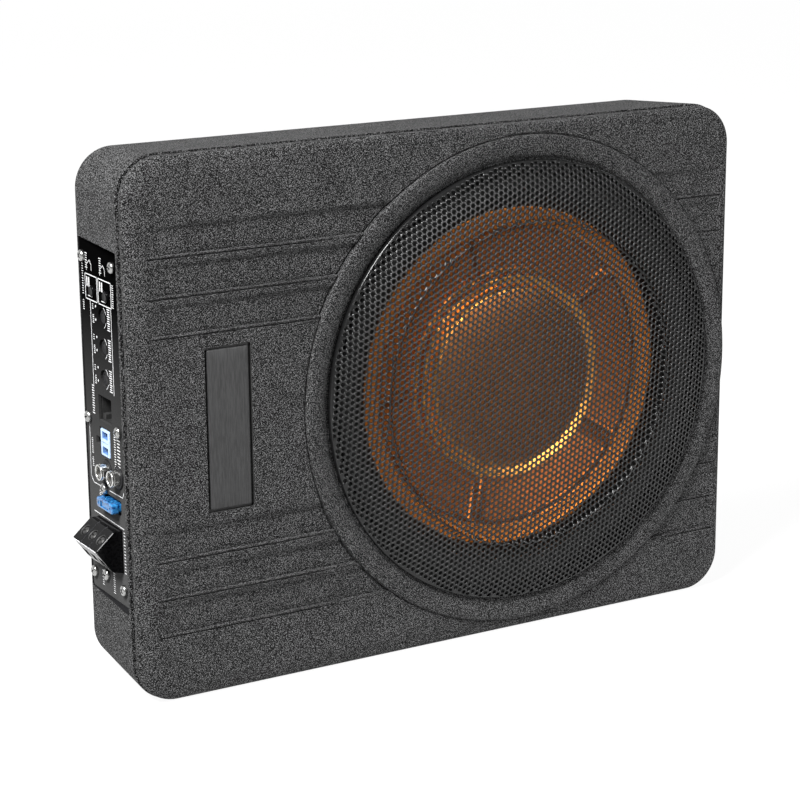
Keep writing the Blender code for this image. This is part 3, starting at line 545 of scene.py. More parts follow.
BANDS = ((227.2, 240.2), (207.5, 221.5), (188.0, 201.5), (75.2, 89.5), (55.5, 68.5), (36.3, 51.5))
BAND_START, BAND_FULL, BAND_EASE, BAND_END, BAND_DEPTH = 11.0, 101.0, 300.0, 355.0, 1.6
BADGE = (40.8, 66.2, 95.6, 179.8)
BADGE_RECESS, BADGE_GAP = 2.0, 1.4
ROLL, ROLL_DEPTH, COVER_INSET, DOMAIN_INSET = 11.0, 3.4, 0.8, 1.1
ROLL_RIGHT, ROLL_RIGHT_DEPTH = 2.6, 2.4
FOOT_WIDTH, FOOT_DEPTH = 1.0, 0.8


def inset_at(x, z):
    """How far inside the housing's outline a front point lies."""
    from_x, from_z = min(x, WIDTH - x), min(z, HEIGHT - z)
    if from_x < CORNER and from_z < CORNER:
        return CORNER - hypot(CORNER - from_x, CORNER - from_z)
    return min(from_x, from_z)


def edge_depth(inset, x):
    """The rolled edge: a quarter ellipse from the flat to the side wall, tighter on the right by the ring."""
    tight = smooth((x - 290.0) / 50.0)
    roll, depth = ROLL + (ROLL_RIGHT - ROLL) * tight, ROLL_DEPTH + (ROLL_RIGHT_DEPTH - ROLL_DEPTH) * tight
    share = max(0.0, min(1.0, (roll - inset) / (roll - COVER_INSET)))
    return depth * (1 - sqrt(1 - share**2))


def band_reach(x):
    """Depth of a band's floor at this x: quickly to a shallow step, then deeper towards the ring."""
    if x <= BAND_START or x >= BAND_END:
        return 0.0
    if x >= BAND_END - 1:
        return 0.2
    if x > BAND_EASE:
        return 0.35 + (BAND_DEPTH - 0.35) * (BAND_END - x) / (BAND_END - BAND_EASE)
    start = min(1.0, (x - BAND_START) / 8.0)
    return 0.75 * start + (BAND_DEPTH - 0.75) * min(1.0, (x - BAND_START) / (BAND_FULL - BAND_START))


def groove_reach(x):
    if x <= BAND_START or x >= BAND_END:
        return 0.0
    if x < 95 or x > 320:
        return 0.95 * min(1.0, (x - BAND_START) / 2.0)
    return 0.95 - 0.70 * min(1.0, (x - 95.0) / 20.0)


def band_depth(x, z):
    for low, high in BANDS:
        if low - 1.7 < z < high + 3.0:
            reach, upper = band_reach(x), high > 150
            shoulder = 0.75 if upper else 0.4
            if z >= high:
                return reach * shoulder * ((high + 3.0 - z) / 3.0) ** 2
            if z >= high - 0.25:
                return reach * (shoulder + (1 - shoulder) * (high - z) / 0.25)
            if z >= low + 2.4:
                return reach
            if z >= low + 0.25:
                return reach + 0.4 * min(1.0, reach) * (low + 2.4 - z) / 2.15
            if z >= low - 0.15:
                return (reach + 0.4 * min(1.0, reach)) * (z - low + 0.15) / 0.4
            if z >= low - 0.60:
                return 0.0
            if z >= low - 1.40:
                return groove_reach(x) * (low - 0.60 - z) / 0.8
            return groove_reach(x) * max(0.0, (z - low + 1.60) / 0.2)
    return 0.0


def front_depth(x, z):
    radius, _ = ring_place(x, z)
    foot = FOOT_DEPTH * max(0.0, min(1.0, (RING_OUTER + FOOT_WIDTH - radius) / (FOOT_WIDTH - 0.1)))
    return max(edge_depth(inset_at(x, z), x), band_depth(x, z)) + foot


def polygon_radius(angle, radius, count):
    step = 2 * pi / count
    return radius * cos(step / 2) / cos((angle % step) - step / 2)


def fill_between(points, edges, keep):
    """Triangles over these points, with the edges kept, where the middle passes the test."""
    found, _, faces, *_ = delaunay_2d_cdt([Vector(p) for p in points], edges, [], 0, 1e-5)
    triangles = []
    for face in faces:
        middle = sum((found[i] for i in face), Vector((0, 0))) / len(face)
        if keep(middle.x, middle.y):
            triangles.append(face)
    return found, triangles


def within(polygon, x, z):
    """Even-odd test."""
    odd = False
    for (x0, z0), (x1, z1) in zip(polygon, polygon[1:] + polygon[:1]):
        if (z0 > z) != (z1 > z) and x < (x1 - x0) * (z - z0) / (z1 - z0) + x0:
            odd = not odd
    return odd


def chain(points, edges, line, closed):
    start = len(points)
    points.extend(line)
    count = len(line)
    edges.extend((start + i, start + (i + 1) % count) for i in range(count if closed else count - 1))


def circle(radius, count):
    return [around_driver(radius, a) for a in turns_of(count)]


def ring_place(x, z):
    return hypot(x - DRIVER_X, z - DRIVER_Z), atan2(z - DRIVER_Z, x - DRIVER_X)


def make_front_cover():
    count = 240
    points, edges = [], []
    for inset in (DOMAIN_INSET, 1.5, 2.0, 2.6, 3.6, 4.7, 6.0, 7.5, 9.2, ROLL):
        chain(points, edges, housing_outline(0.0, inset), True)
    chain(points, edges, circle(RING_OUTER, count), True)
    foot = [around_driver(RING_OUTER + FOOT_WIDTH, radians(16 + 328 * i / 220)) for i in range(221)]
    chain(points, edges, foot, False)
    badge_line = rectangle(*BADGE, 0.8, 4)
    chain(points, edges, badge_line, True)
    stations = [11, 11.4, *range(13, 26, 3), 31, *range(40, 100, 10), 95, 101, 108, 115, 130, 150, 180]
    stations += [220, 260, 300, 310, 320, 330, 338, 345, 350, 354, 355]
    offsets_high = (3.0, 2.4, 1.8, 1.3, 0.8, 0.4, 0.0, -0.25, -0.8)
    offsets_low = (2.4, 1.2, 0.25, -0.15, -0.60, -1.0, -1.40, -1.60)
    for low, high in BANDS:
        levels = [high + d for d in offsets_high] + [(low + high) / 2] + [low + d for d in offsets_low]
        for level in levels:
            chain(points, edges, [(x, level) for x in stations], False)

    def inside(x, z):
        radius, angle = ring_place(x, z)
        if radius < polygon_radius(angle, RING_OUTER, count):
            return False
        if BADGE[0] - 0.01 < x < BADGE[1] + 0.01 and BADGE[2] - 0.01 < z < BADGE[3] + 0.01:
            return inset_of_badge(x, z) < 0.0
        return True

    def inset_of_badge(x, z):
        from_x, from_z = min(x - BADGE[0], BADGE[1] - x), min(z - BADGE[2], BADGE[3] - z)
        if from_x < 0.8 and from_z < 0.8:
            return 0.8 * cos(pi / 16) - hypot(0.8 - from_x, 0.8 - from_z)
        return min(from_x, from_z)

    flat, triangles = fill_between(points, edges, inside)
    shape = bmesh.new()
    verts = {}
    for triangle in triangles:
        for i in triangle:
            if i not in verts:
                x, z = flat[i]
                verts[i] = shape.verts.new((x, front_depth(x, z), z))
    for triangle in triangles:
        shape.faces.new([verts[i] for i in triangle])
    border = [edge for edge in shape.edges if edge.is_boundary]
    rim = {v for edge in border for v in edge.verts}

    def loop_of(test):
        found = [v for v in rim if test(v.co.x, v.co.z)]
        return sorted(found, key=lambda v: atan2(v.co.z - middle[1], v.co.x - middle[0]))

    def extrude(loop, rows):
        for row in rows:
            fresh = [shape.verts.new(point) for point in row]
            bridge(shape, loop, fresh)
            loop = fresh
        return loop

    middle = (DRIVER_X, DRIVER_Z)

    def on_ring(x, z):
        radius, angle = ring_place(x, z)
        return abs(radius - polygon_radius(angle, RING_OUTER, count)) < 0.01

    ring = loop_of(on_ring)
    turns = [ring_place(v.co.x, v.co.z)[1] for v in ring]
    profile = (
        (131.36, -0.35), (131.15, -0.80), (130.70, -1.18), (130.05, -1.40), (129.2, -1.5), (127.6, -1.5),
        (126.2, -1.42), (124.8, -1.24), (123.4, -0.95), (122.1, -0.54), (121.0, -0.04), (120.2, 0.50),
        (119.65, 1.05), (119.4, 1.6), (119.3, 1.72), (118.0, 1.75), (LIP_INNER + 0.4, 1.75), (LIP_INNER, 2.1),
        (LIP_INNER, 3.2), (LIP_INNER + 0.3, WALL),
    )
    rows = []
    for radius, y in profile:
        places = [around_driver(polygon_radius(a, radius, count), a) for a in turns]
        rows.append([(x, y, z) for x, z in places])
    lip = extrude(ring, rows)

    middle = ((BADGE[0] + BADGE[1]) / 2, (BADGE[2] + BADGE[3]) / 2)
    half_x, half_z = (BADGE[1] - BADGE[0]) / 2, (BADGE[3] - BADGE[2]) / 2
    badge = loop_of(lambda x, z: abs(x - middle[0]) < half_x + 0.1 and abs(z - middle[1]) < half_z + 0.1)
    walls = []
    for shrink, y in ((0.12, 0.15), (0.15, BADGE_RECESS)):
        narrow, low = 1 - shrink / half_x, 1 - shrink / half_z
        offsets = [(v.co.x - middle[0], v.co.z - middle[1]) for v in badge]
        walls.append([(middle[0] + across * narrow, y, middle[1] + up * low) for across, up in offsets])
    # The badge recess's walls and floor take the deep black finish: painted shade in the recess.
    before = len(shape.faces)
    shape.faces.new(extrude(badge, walls))
    for face in list(shape.faces)[before:]:
        face.material_index = 1

    middle = (WIDTH / 2, HEIGHT / 2)
    outer = loop_of(lambda x, z: inset_at(x, z) < DOMAIN_INSET + 0.1)
    insets = (1.0, 0.9, 0.83, COVER_INSET)

    def around(y, inset):
        """The outline with its points in the same order as the border's."""
        return sorted(housing_loop(y, inset), key=lambda p: atan2(p[2] - middle[1], p[0] - middle[0]))

    rows = [[(x, edge_depth(inset, x), z) for x, _, z in around(0.0, inset)] for inset in insets]
    for y, inset in ((4.2, 0.0), (COVER_BACK - 0.8, 0.0), (COVER_BACK - 0.3, 0.2), (COVER_BACK, 0.7)):
        rows.append(around(y, COVER_INSET + inset))
    rows += [around(COVER_BACK, WALL), around(WALL, WALL)]
    inner = extrude(outer, rows)

    points, edges = [], []
    chain(points, edges, [(v.co.x, v.co.z) for v in inner], True)
    chain(points, edges, [(v.co.x, v.co.z) for v in lip], True)
    lip_radius = LIP_INNER + 0.3

    def outside_lip(x, z):
        radius, angle = ring_place(x, z)
        return radius > polygon_radius(angle, lip_radius, count)

    _, triangles = fill_between(points, edges, outside_lip)
    corners = inner + lip
    for triangle in triangles:
        shape.faces.new([corners[i] for i in triangle])
    bmesh.ops.remove_doubles(shape, verts=shape.verts, dist=1e-4)
    cover = finish_mesh("front_cover_moulding", shape, ["housing", "dark"], 34, True)
    settle(cover, replaces=["front_cover"])
    weigh_normals(cover)


def make_badge():
    """A blank name plate, crowned a little, with a polished edge."""
    shape = bmesh.new()
    rows = ((0.0, BADGE_RECESS - 0.3), (0.0, 0.75), (0.12, 0.48), (0.35, 0.34), (0.8, 0.28), (3.5, 0.16))
    loops = []
    for inset, y in (*rows, (7.0, 0.12)):
        in_by = BADGE_GAP + inset
        outline = rectangle(
            BADGE[0] + in_by, BADGE[1] - in_by, BADGE[2] + in_by, BADGE[3] - in_by, max(0.25, 1.0 - inset), 6
        )
        loops.append([(x, y, z) for x, z in outline])
    add_loft(shape, loops)
    badge = finish_mesh("badge_blank", shape, ["badge"], 40, True)
    settle(badge, replaces=["badge_plate"])
    weigh_normals(badge)


# --- rear shell ---

PANEL_Y, PANEL_Z = (9.8, 63.4), (46.9, 228.9)
PANEL_SCREWS = (
    (59.5, 219.8), (22.8, 219.8), (59.5, 137.3), (22.8, 137.3),
    (43.0, 103.4), (44.4, 57.6), (59.5, 55.4), (22.8, 55.4),
)
SHELL_SCREWS = ((22.0, 20.0), (338.0, 20.0), (22.0, 256.0), (338.0, 256.0))
LEDGE_FACE = 6.3


def make_rear_shell():
    bend = [pi / 2 * i / 6 for i in range(7)]
    bevel = [(DEPTH - BACK_BEVEL * (1 - sin(a)), BACK_BEVEL * (1 - cos(a))) for a in bend]
    rows = [(DEPTH - WALL, WALL), (SHELL_FRONT, WALL), (SHELL_FRONT, 0.4), (SHELL_FRONT + 0.1, 0.12)]
    loops = [housing_loop(y, inset) for y, inset in (*rows, (SHELL_FRONT + 0.4, 0.0), *bevel)]
    shape = bmesh.new()
    add_loft(shape, loops)
    shell = finish_mesh("rear_shell_moulding", shape, ["tub"], 34, True)

    shape = bmesh.new()
    add_box(shape, (4.5, LEDGE_FACE + WALL), (SHELL_FRONT + 0.3, 65.0), (PANEL_Z[0] - 4, PANEL_Z[1] + 4))
    boolean(shell, shape, "UNION")
    shape = bmesh.new()
    for x in (70.0, 290.0):
        add_loft(shape, [
            [(a, b, z) for a, b in rectangle(x - 20 + rim, x + 20 - rim, 51.0 + rim, 62.0 - rim, 2.0, 5)]
            for z, rim in ((0.0, 0.3), (0.3, 0.0), (5.0, 0.0))
        ])
    boolean(shell, shape, "UNION")
    shape = bmesh.new()
    pocket = rectangle(PANEL_Y[0] - 0.3, PANEL_Y[1] + 0.3, PANEL_Z[0] - 0.3, PANEL_Z[1] + 0.3, 1.0, 4)
    add_prism(shape, pocket, -2.0, LEDGE_FACE - 0.4)
    # The pocket's cut faces take the moulded black finish: painted shade on the pocket walls round the panel.
    boolean(shell, shape, material="matt")
    shape = bmesh.new()
    add_box(shape, (LEDGE_FACE - 1.5, LEDGE_FACE + 4.5), (15.0, 56.2), (62.5, 214.0))
    for x, z in SHELL_SCREWS:
        hole = ((0, 50.0), (3.8, 50.0), (3.8, 66.7), (4.3, 67.2), (4.3, 70), (0, 70))
        add_turned(shape, (x, 0, z), AXIS_Y, hole, 32)
    boolean(shell, shape)
    settle(shell, replaces=["rear_shell"])
    weigh_normals(shell)


def make_seal():
    shape = bmesh.new()
    rows = ((6.9, 3.3), (6.9, 2.3), (6.75, 2.05), (6.5, 1.95), (6.25, 2.05), (6.1, 2.3), (6.1, 3.3))
    add_loft(shape, [housing_loop(y, inset) for y, inset in rows], closed=True)
    seal = finish_mesh("parting_seal", shape, ["seal"], 50, True)
    settle(seal, replaces=["housing_seal"])


# --- grille ---

HOLE_PITCH, HOLE_RADIUS, HOLE_SIDES = 3.17, 1.15, 12
LATTICE_TURN = radians(-5.0)
GRILLE_RIM, SHEET = 118.2, 0.8
WHOLE_CELLS, CUT_AT = 116.1, 117.65
BEAD_RADIUS, BEAD_HALF = 87.0, 2.1
DOME = ((0, -7.55), (40, -7.35), (70, -6.95), (85, -6.55), (95, -6.1), (103, -5.5), (108, -4.75),
        (112, -3.85), (116, -2.75), (118.2, -1.75))


def dome_level(radius):
    level = float(np.interp(radius, [r for r, _ in DOME], [y for _, y in DOME]))
    off = abs(radius - BEAD_RADIUS) / BEAD_HALF
    if off < 1:
        level -= 1.55 * (cos(pi * off) + 1) / 2
    return level


def make_grille():
    """A domed sheet with real round holes on a hexagonal lattice, one pressed bead and a rolled rim."""
    shape = bmesh.new()
    step_a = Vector((HOLE_PITCH * sqrt(3) / 2, HOLE_PITCH / 2))
    step_b = Vector((0, HOLE_PITCH))
    turn = Matrix.Rotation(LATTICE_TURN, 2)
    step_a, step_b = turn @ step_a, turn @ step_b
    corner_reach = HOLE_PITCH / sqrt(3)
    corner_turns = [LATTICE_TURN + pi / 3 * i for i in range(6)]
    corners = {}
    holes, cut_holes = [], []
    reach = int(GRILLE_RIM / HOLE_PITCH * 1.3) + 2

    def sheet_vertex(a, b):
        return shape.verts.new((DRIVER_X + a, dome_level(hypot(a, b)), DRIVER_Z + b))

    def hole_outline(centre):
        turns = [LATTICE_TURN + a for a in turns_of(HOLE_SIDES)]
        return [centre + Vector((cos(a), sin(a))) * HOLE_RADIUS for a in turns]

    def shared(a, b):
        key = (round(a * 20), round(b * 20))
        for near_a, near_b in product((0, 1, -1), repeat=2):
            found = corners.get((key[0] + near_a, key[1] + near_b))
            if found:
                return found
        corners[key] = sheet_vertex(a, b)
        return corners[key]

    for i, j in product(range(-reach, reach + 1), repeat=2):
        centre = step_a * i + step_b * j
        if centre.length < WHOLE_CELLS:
            holes.append(centre)
        elif centre.length < CUT_AT - 0.05:
            cut_holes.append(centre)
    for centre in holes:
        rim = [sheet_vertex(*point) for point in hole_outline(centre)]
        hexagon = [
            shared(centre.x + corner_reach * cos(a), centre.y + corner_reach * sin(a)) for a in corner_turns
        ]
        for side in range(6):
            following = (side + 1) % 6
            first, between, last = rim[side * 2], rim[side * 2 + 1], rim[(side * 2 + 2) % HOLE_SIDES]
            shape.faces.new((hexagon[side], between, first))
            shape.faces.new((hexagon[side], hexagon[following], between))
            shape.faces.new((hexagon[following], last, between))
    border = {v for edge in shape.edges if edge.is_boundary for v in edge.verts}
    links = {}
    for edge in shape.edges:
        if edge.is_boundary:
            one, other = edge.verts
            links.setdefault(one, []).append(other)
            links.setdefault(other, []).append(one)
    outline = []
    start = max(border, key=lambda v: hypot(v.co.x - DRIVER_X, v.co.z - DRIVER_Z))
    here, previous = start, None
    while True:
        outline.append(here)
        ahead = [v for v in links[here] if v is not previous]
        previous, here = here, ahead[0]
        if here is start:
            break
    points, edges = [], []
    chain(points, edges, [(v.co.x, v.co.z) for v in outline], True)
    count = 240
    chain(points, edges, circle(GRILLE_RIM - 0.15, count), True)
    rim_start = len(outline)
    hull = [(v.co.x, v.co.z) for v in outline]
    windows = []
    for centre in cut_holes:
        line = []
        for corner in hole_outline(centre):
            corner *= min(1.0, CUT_AT / corner.length)
            line.append((DRIVER_X + corner.x, DRIVER_Z + corner.y))
        windows.append(line)
        chain(points, edges, line, True)

    def in_rim(x, z):
        near = [line for line in windows if hypot(line[0][0] - x, line[0][1] - z) < 3 * HOLE_RADIUS]
        return not within(hull, x, z) and not any(within(line, x, z) for line in near)

    found, triangles = fill_between(points, edges, in_rim)
    verts = list(outline)
    for x, z in found[rim_start:]:
        verts.append(shape.verts.new((x, dome_level(hypot(x - DRIVER_X, z - DRIVER_Z)), z)))
    for triangle in triangles:
        shape.faces.new([verts[i] for i in triangle])
    loop = verts[rim_start:rim_start + count]
    level = dome_level(GRILLE_RIM - 0.15)
    for radius, y in ((118.2, level + 0.25), (118.3, level + 0.6), (118.3, level + 1.1), (118.3, 1.3)):
        fresh = [shape.verts.new((x, y, z)) for x, z in circle(radius, count)]
        bridge(shape, loop, fresh)
        loop = fresh
    bmesh.ops.recalc_face_normals(shape, faces=shape.faces)
    driver = Vector((DRIVER_X, 0, DRIVER_Z))
    middle_face = min(shape.faces, key=lambda face: (face.calc_center_median() - driver).length)
    if middle_face.normal.y > 0:
        bmesh.ops.reverse_faces(shape, faces=shape.faces)
    grille = finish_mesh("grille_sheet", shape, ["grille"], 45)
    solid = grille.modifiers.new("sheet", "SOLIDIFY")
    solid.thickness = SHEET * MM
    solid.offset = -1
    settle(grille, replaces=["grille"])


# --- driver ---

RIBS = 5
RIB_TURN = radians(110.0)
CONE_SIDES, CONE_THICKNESS, PANEL_SINK = 300, 0.7, 1.7
COIL_END, CONE_END, CLAMPED_END = 26.4, 92.2, 111.5


def cone_level(radius, angle):
    """Front of the cone: flat outer band, five pressed panels between ribs, and a collar up to the cap."""
    outer = float(np.interp(radius, (24, 57, 81, 88, 91, 91.8), (23.4, 17.0, 13.6, 12.7, 12.15, 12.2)))
    off = (angle - RIB_TURN + pi / RIBS) % (2 * pi / RIBS) - pi / RIBS
    across = abs(off) * radius
    panel = smooth((81.6 - radius) / 1.6) * smooth((radius - 56.0) / 2.0) * smooth((across - 1.5) / 1.5)
    return outer + PANEL_SINK * panel


def polar_ring(radius, count, push):
    """Points of the cone's front at one radius, pushed back by this much."""
    places = [(*around_driver(radius, a), cone_level(radius, a) + push) for a in turns_of(count)]
    return [(x, y, z) for x, z, y in places]


def make_cone():
    shape = bmesh.new()
    radii = [25.8, 30, 40, 50, 54, 55.5, 56.2, 56.8, 57.4, 58.2, 60, 64, 68, 72, 76, 79, 79.9, 80.4, 80.9]
    radii += [81.4, 81.9, 83, 85, 87, 88.5, 90, 90.8, 91.4, 91.8]
    front = [polar_ring(radius, CONE_SIDES, 0.0) for radius in radii]
    back = [polar_ring(radius, CONE_SIDES, CONE_THICKNESS) for radius in radii[::-1]]
    add_loft(shape, front + back, closed=True)
    cone = finish_mesh("cone_pressing", shape, ["amber"], 50, True)
    settle(cone, "cone_assembly", ["cone"])


def make_dust_cap():
    """A shallow cap on a stepped collar."""
    front = (
        (0.0, 9.6), (12.0, 9.65), (24.0, 9.9), (36.0, 10.45), (44.0, 11.05), (47.6, 11.4), (48.6, 11.5),
        (49.3, 11.9), (49.8, 12.8), (50.1, 13.7), (50.5, 14.15), (51.0, 14.1), (54.4, 12.6), (55.0, 12.45),
        (55.5, 12.65), (55.9, 13.5), (56.2, 15.2), (56.3, 17.0),
    )
    back = (
        (55.3, 17.0), (55.0, 14.4), (54.5, 13.7), (51.2, 15.1), (50.0, 15.1), (49.2, 13.8), (48.4, 12.6),
        (36.0, 11.4), (24.0, 10.9), (0.0, 10.6),
    )
    shape = bmesh.new()
    add_turned(shape, (DRIVER_X, 0, DRIVER_Z), AXIS_Y, front + back, 180)
    cap = finish_mesh("cap_pressing", shape, ["amber"], 50, True)
    settle(cap, "cone_assembly", ["dust_cap"])


def add_sector(shape, profile, low, high, steps):
    """A slice of a turned ring between two angles, closed."""
    loops = []
    for step in range(steps + 1):
        places = [(*around_driver(radius, low + (high - low) * step / steps), y) for radius, y in profile]
        loops.append([(x, y, z) for x, z, y in places])
    add_loft(shape, loops)


def make_flexible_ring(name, key, node, profile, sectors):
    """A soft ring in slices, baked in place."""
    for number in range(sectors):
        low, high = 2 * pi * number / sectors, 2 * pi * (number + 1) / sectors
        shape = bmesh.new()
        add_sector(shape, profile, low, high, 6)
        made = finish_mesh(f"{name}_{number + 1:02d}", shape, [key], 50, True)
        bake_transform(made)
        settle(made, None, [node])


def make_surround():
    inner, outer = CONE_END, CLAMPED_END
    middle, half = (inner + outer) / 2, (outer - inner) / 2
    front, back = [], []
    for step in range(17):
        a = pi * step / 16
        base = 13.0 * (1 - step / 16) + 5.4 * step / 16
        front.append((middle - half * cos(a), base - 1.0 - 5.4 * sin(a) + (0.4 if step == 16 else 0)))
        back.append((middle - (half - 0.9) * cos(a), base - 4.6 * sin(a)))
    front[0] = (inner, 12.0)
    lip = [(117.5, 4.4), (117.5, 5.6), (outer - 0.5, 5.6)]
    profile = front + lip + back[1:-1][::-1] + [(inner + 0.9, 13.0), (inner, 13.0)]
    make_flexible_ring("surround", "rubber", "surround", profile, 16)


def make_spider():
    inner, outer = COIL_END, 59.0
    front = []
    for step in range(33):
        radius = inner + (outer - inner) * step / 32
        front.append((radius, 31.2 + 0.75 * sin(2 * pi * 4.5 * step / 32)))
    front.append((65.5, 31.2))
    profile = front + [(r, y + 0.6) for r, y in front[::-1]]
    make_flexible_ring("spider", "cloth", "spider", profile, 12)


# --- side panel ---


def add_line(shape, start, end, width):
    """A printed line on the panel between two (y, z) points."""
    a, b = Vector(start), Vector(end)
    along = (b - a).normalized() * width / 2
    across = Vector((-along.y, along.x))
    outline = [a - along - across, b + along - across, b + along + across, a - along + across]
    add_prism(shape, [tuple(p) for p in outline], *INK)


def add_polyline(shape, width, *points):
    for one, other in zip(points, points[1:]):
        add_line(shape, one, other, width)


def add_arc(shape, centre, radius, low, high, width):
    steps = 10
    turns = [radians(low + (high - low) * i / steps) for i in range(steps + 1)]
    outer, inner = (
        [(centre[0] + reach * cos(a), centre[1] + reach * sin(a)) for a in turns]
        for reach in (radius + width / 2, radius - width / 2)
    )
    add_prism(shape, outer + inner[::-1], *INK)


def add_dot(shape, centre, radius):
    add_prism(shape, [(centre[0] + radius * cos(a), centre[1] + radius * sin(a)) for a in turns_of(10)], *INK)


def add_frame(shape, low_y, high_y, low_z, high_z, width):
    corners = [((low_y, high_y)[i], (low_z, high_z)[j]) for i, j in CORNER_WALK]
    add_polyline(shape, width, *corners, corners[0])


def add_ticks(shape, y, low, high, pitch, long, short, width=0.42):
    """A column of plain scale ticks, every third one longer."""
    count = int(round((high - low) / pitch))
    for i in range(count + 1):
        z = low + (high - low) * i / max(1, count)
        reach = long if i % 3 == 0 else short
        add_line(shape, (y - reach / 2, z), (y + reach / 2, z), width)


TRIMMERS = (("crossover", 192.2), ("boost", 176.7), ("gain", 161.2))
TRIMMER_Y = 39.0
SWITCHES = (("phase", 49.0), ("input", 32.0))
SWITCH_Z = 203.6


# Polylines: a width and then (y, z) points.
PRINTED_LINES = (
    (0.42, (52.4, 154.6), (52.4, 198.0)),
    (0.42, (27.3, 155.0), (27.3, 198.0)),
    (0.42, (60.0, 133.6), (60.8, 106.0), (57.6, 103.2), (48.5, 103.4)),
    (0.42, (37.5, 103.6), (21.8, 103.9), (20.2, 106.6)),
    (0.5, (16.2, 108.4), (18.6, 108.4)),
    (0.5, (17.4, 106.6), (17.4, 110.2)),
    (0.5, (58.3, 88.0), (21.8, 87.6)),
)
# Columns of ticks: y, from z, to z, pitch, long and short reach, and a width where it isn't the usual one.
PRINTED_TICKS = (
    (55.8, 214.4, 221.6, 1.2, 2.2, 1.6), (38.6, 214.4, 221.6, 1.2, 2.2, 1.6),
    (60.9, 192.5, 197.0, 1.1, 1.4, 1.0), (60.9, 200.5, 215.5, 1.25, 1.4, 1.0),
    (24.4, 199.5, 210.5, 1.1, 1.7, 1.2), (57.2, 112.0, 116.4, 1.1, 1.3, 0.9),
    (57.2, 119.0, 126.5, 1.1, 1.3, 0.9), (53.6, 140.4, 154.6, 1.25, 2.5, 1.8, 0.5),
    (29.0, 117.0, 134.6, 1.3, 1.8, 1.2, 0.45), (24.6, 117.4, 132.6, 1.7, 3.2, 2.4, 0.6),
    (49.8, 95.6, 100.6, 1.1, 1.6, 1.1), (21.6, 64.6, 85.8, 1.6, 1.5, 1.0, 0.5),
    (50.4, 50.6, 58.0, 1.2, 1.8, 1.2), (36.4, 50.0, 60.4, 1.2, 2.0, 1.4),
)


def make_print():
    """White printed frames, scales and plain ticks on the panel, with no lettering."""
    shape = bmesh.new()
    for low_y, high_y in ((43.4, 57.8), (26.4, 41.9)):
        add_frame(shape, low_y, high_y, 198.6, 211.2, 0.5)
    for y in (55.6, 53.2, 39.7, 37.3):
        add_line(shape, (y, 205.6), (y, 209.2), 1.2)
    for y in (51.0, 34.5):
        add_line(shape, (y - 1.2, 200.4), (y + 3.6, 200.4), 0.45)
        hook = ((y + 4.6, 213.2), (y + 4.6, 216.0), (y + 0.6, 218.6), (y - 1.4, 216.4), (y - 1.4, 213.8))
        add_polyline(shape, 0.4, *hook)
    for width, *points in PRINTED_LINES:
        add_polyline(shape, width, *points)
    for column in PRINTED_TICKS:
        add_ticks(shape, *column)
    for _, z in TRIMMERS:
        for low in (118, 202):
            add_arc(shape, (TRIMMER_Y, z), 5.7, low, low + 40, 0.3)
        add_dot(shape, (46.0, z + 4.2), 0.62)
        add_dot(shape, (46.4, z - 2.6), 0.62)
        add_ticks(shape, 49.3, z - 4.4, z - 0.6, 0.95, 1.5, 1.0)
        add_ticks(shape, 49.6, z + 2.6, z + 4.8, 0.95, 1.3, 0.9)
        add_ticks(shape, 30.6, z - 5.2, z + 5.2, 1.15, 2.9, 2.0, 0.55)
    made = finish_mesh("panel_print", shape, ["ink"], 30, True)
    settle(made)


def cross_recess(shape, base, axis, reach, width, depth):
    """A tapered cross for a screwdriver, as two crossed prisms' union outline."""
    base, axis = Vector(base), Vector(axis).normalized()
    side = axis.orthogonal().normalized()
    other = axis.cross(side)
    half = width / 2
    arm = ((reach, -half), (reach, half), (half, half))
    outline = [(a * c - b * d, a * d + b * c) for c, d in ((1, 0), (0, 1), (-1, 0), (0, -1)) for a, b in arm]
    loops = []
    for share, level in ((1.0, -0.6), (1.0, 0.0), (0.55, depth)):
        loops.append([base + axis * level + (side * a + other * b) * share for a, b in outline])
    add_loft(shape, loops)


def make_panel_screws():
    """Pan-head machine screws with a cross recess and a thin flange."""
    for number, (y, z) in enumerate(PANEL_SCREWS, 1):
        head = rounded(((0, 2.0), (1.3, 2.02), (2.35, 2.35), (2.85, 2.95), (2.95, 3.55), (3.0, 4.1)), 0.3, 2)
        profile = [*head, (1.5, 4.1), (1.5, 10.5), (0, 10.5)]
        shape = bmesh.new()
        add_turned(shape, (0, y, z), AXIS_X, profile, 40)
        made = finish_mesh(f"panel_screw_head_{number}", shape, ["screw", "dark"], 40, True)
        shape = bmesh.new()
        turn = 0.35 + number * 1.1
        cross_recess(shape, (0, 0, 0), (1, 0, 0), 1.75, 0.72, 1.3)
        turn_shape(shape, (0, 0, 0), turn, "X")
        bmesh.ops.translate(shape, vec=(2.05, y, z), verts=shape.verts)
        # The recess's cut faces take deep black: painted shade in the cross recess.
        boolean(made, shape, material="dark")
        settle(made, replaces=[f"panel_screw_{number}"])


def make_shell_screws():
    for number, (x, z) in enumerate(SHELL_SCREWS, 1):
        head = rounded(((3.2, 55.3), (3.2, 56.2), (2.6, 57.2), (1.4, 57.75), (0, 57.8)), 0.3, 2)
        shape = bmesh.new()
        add_turned(shape, (x, 0, z), AXIS_Y, [(0, 20.0), (1.6, 20.8), (1.6, 55.3), *head], 32)
        made = finish_mesh(f"case_screw_{number}", shape, ["zinc", "dark"], 40, True)
        shape = bmesh.new()
        cross_recess(shape, (0, 0, 0), (0, -1, 0), 1.6, 0.65, 1.3)
        turn_shape(shape, (0, 0, 0), 0.5 * number, "Y")
        bmesh.ops.translate(shape, vec=(x, 57.75, z), verts=shape.verts)
        # The recess's cut faces take deep black: painted shade in the cross recess.
        boolean(made, shape, material="dark")
        settle(made, replaces=[f"shell_screw_{number}"])


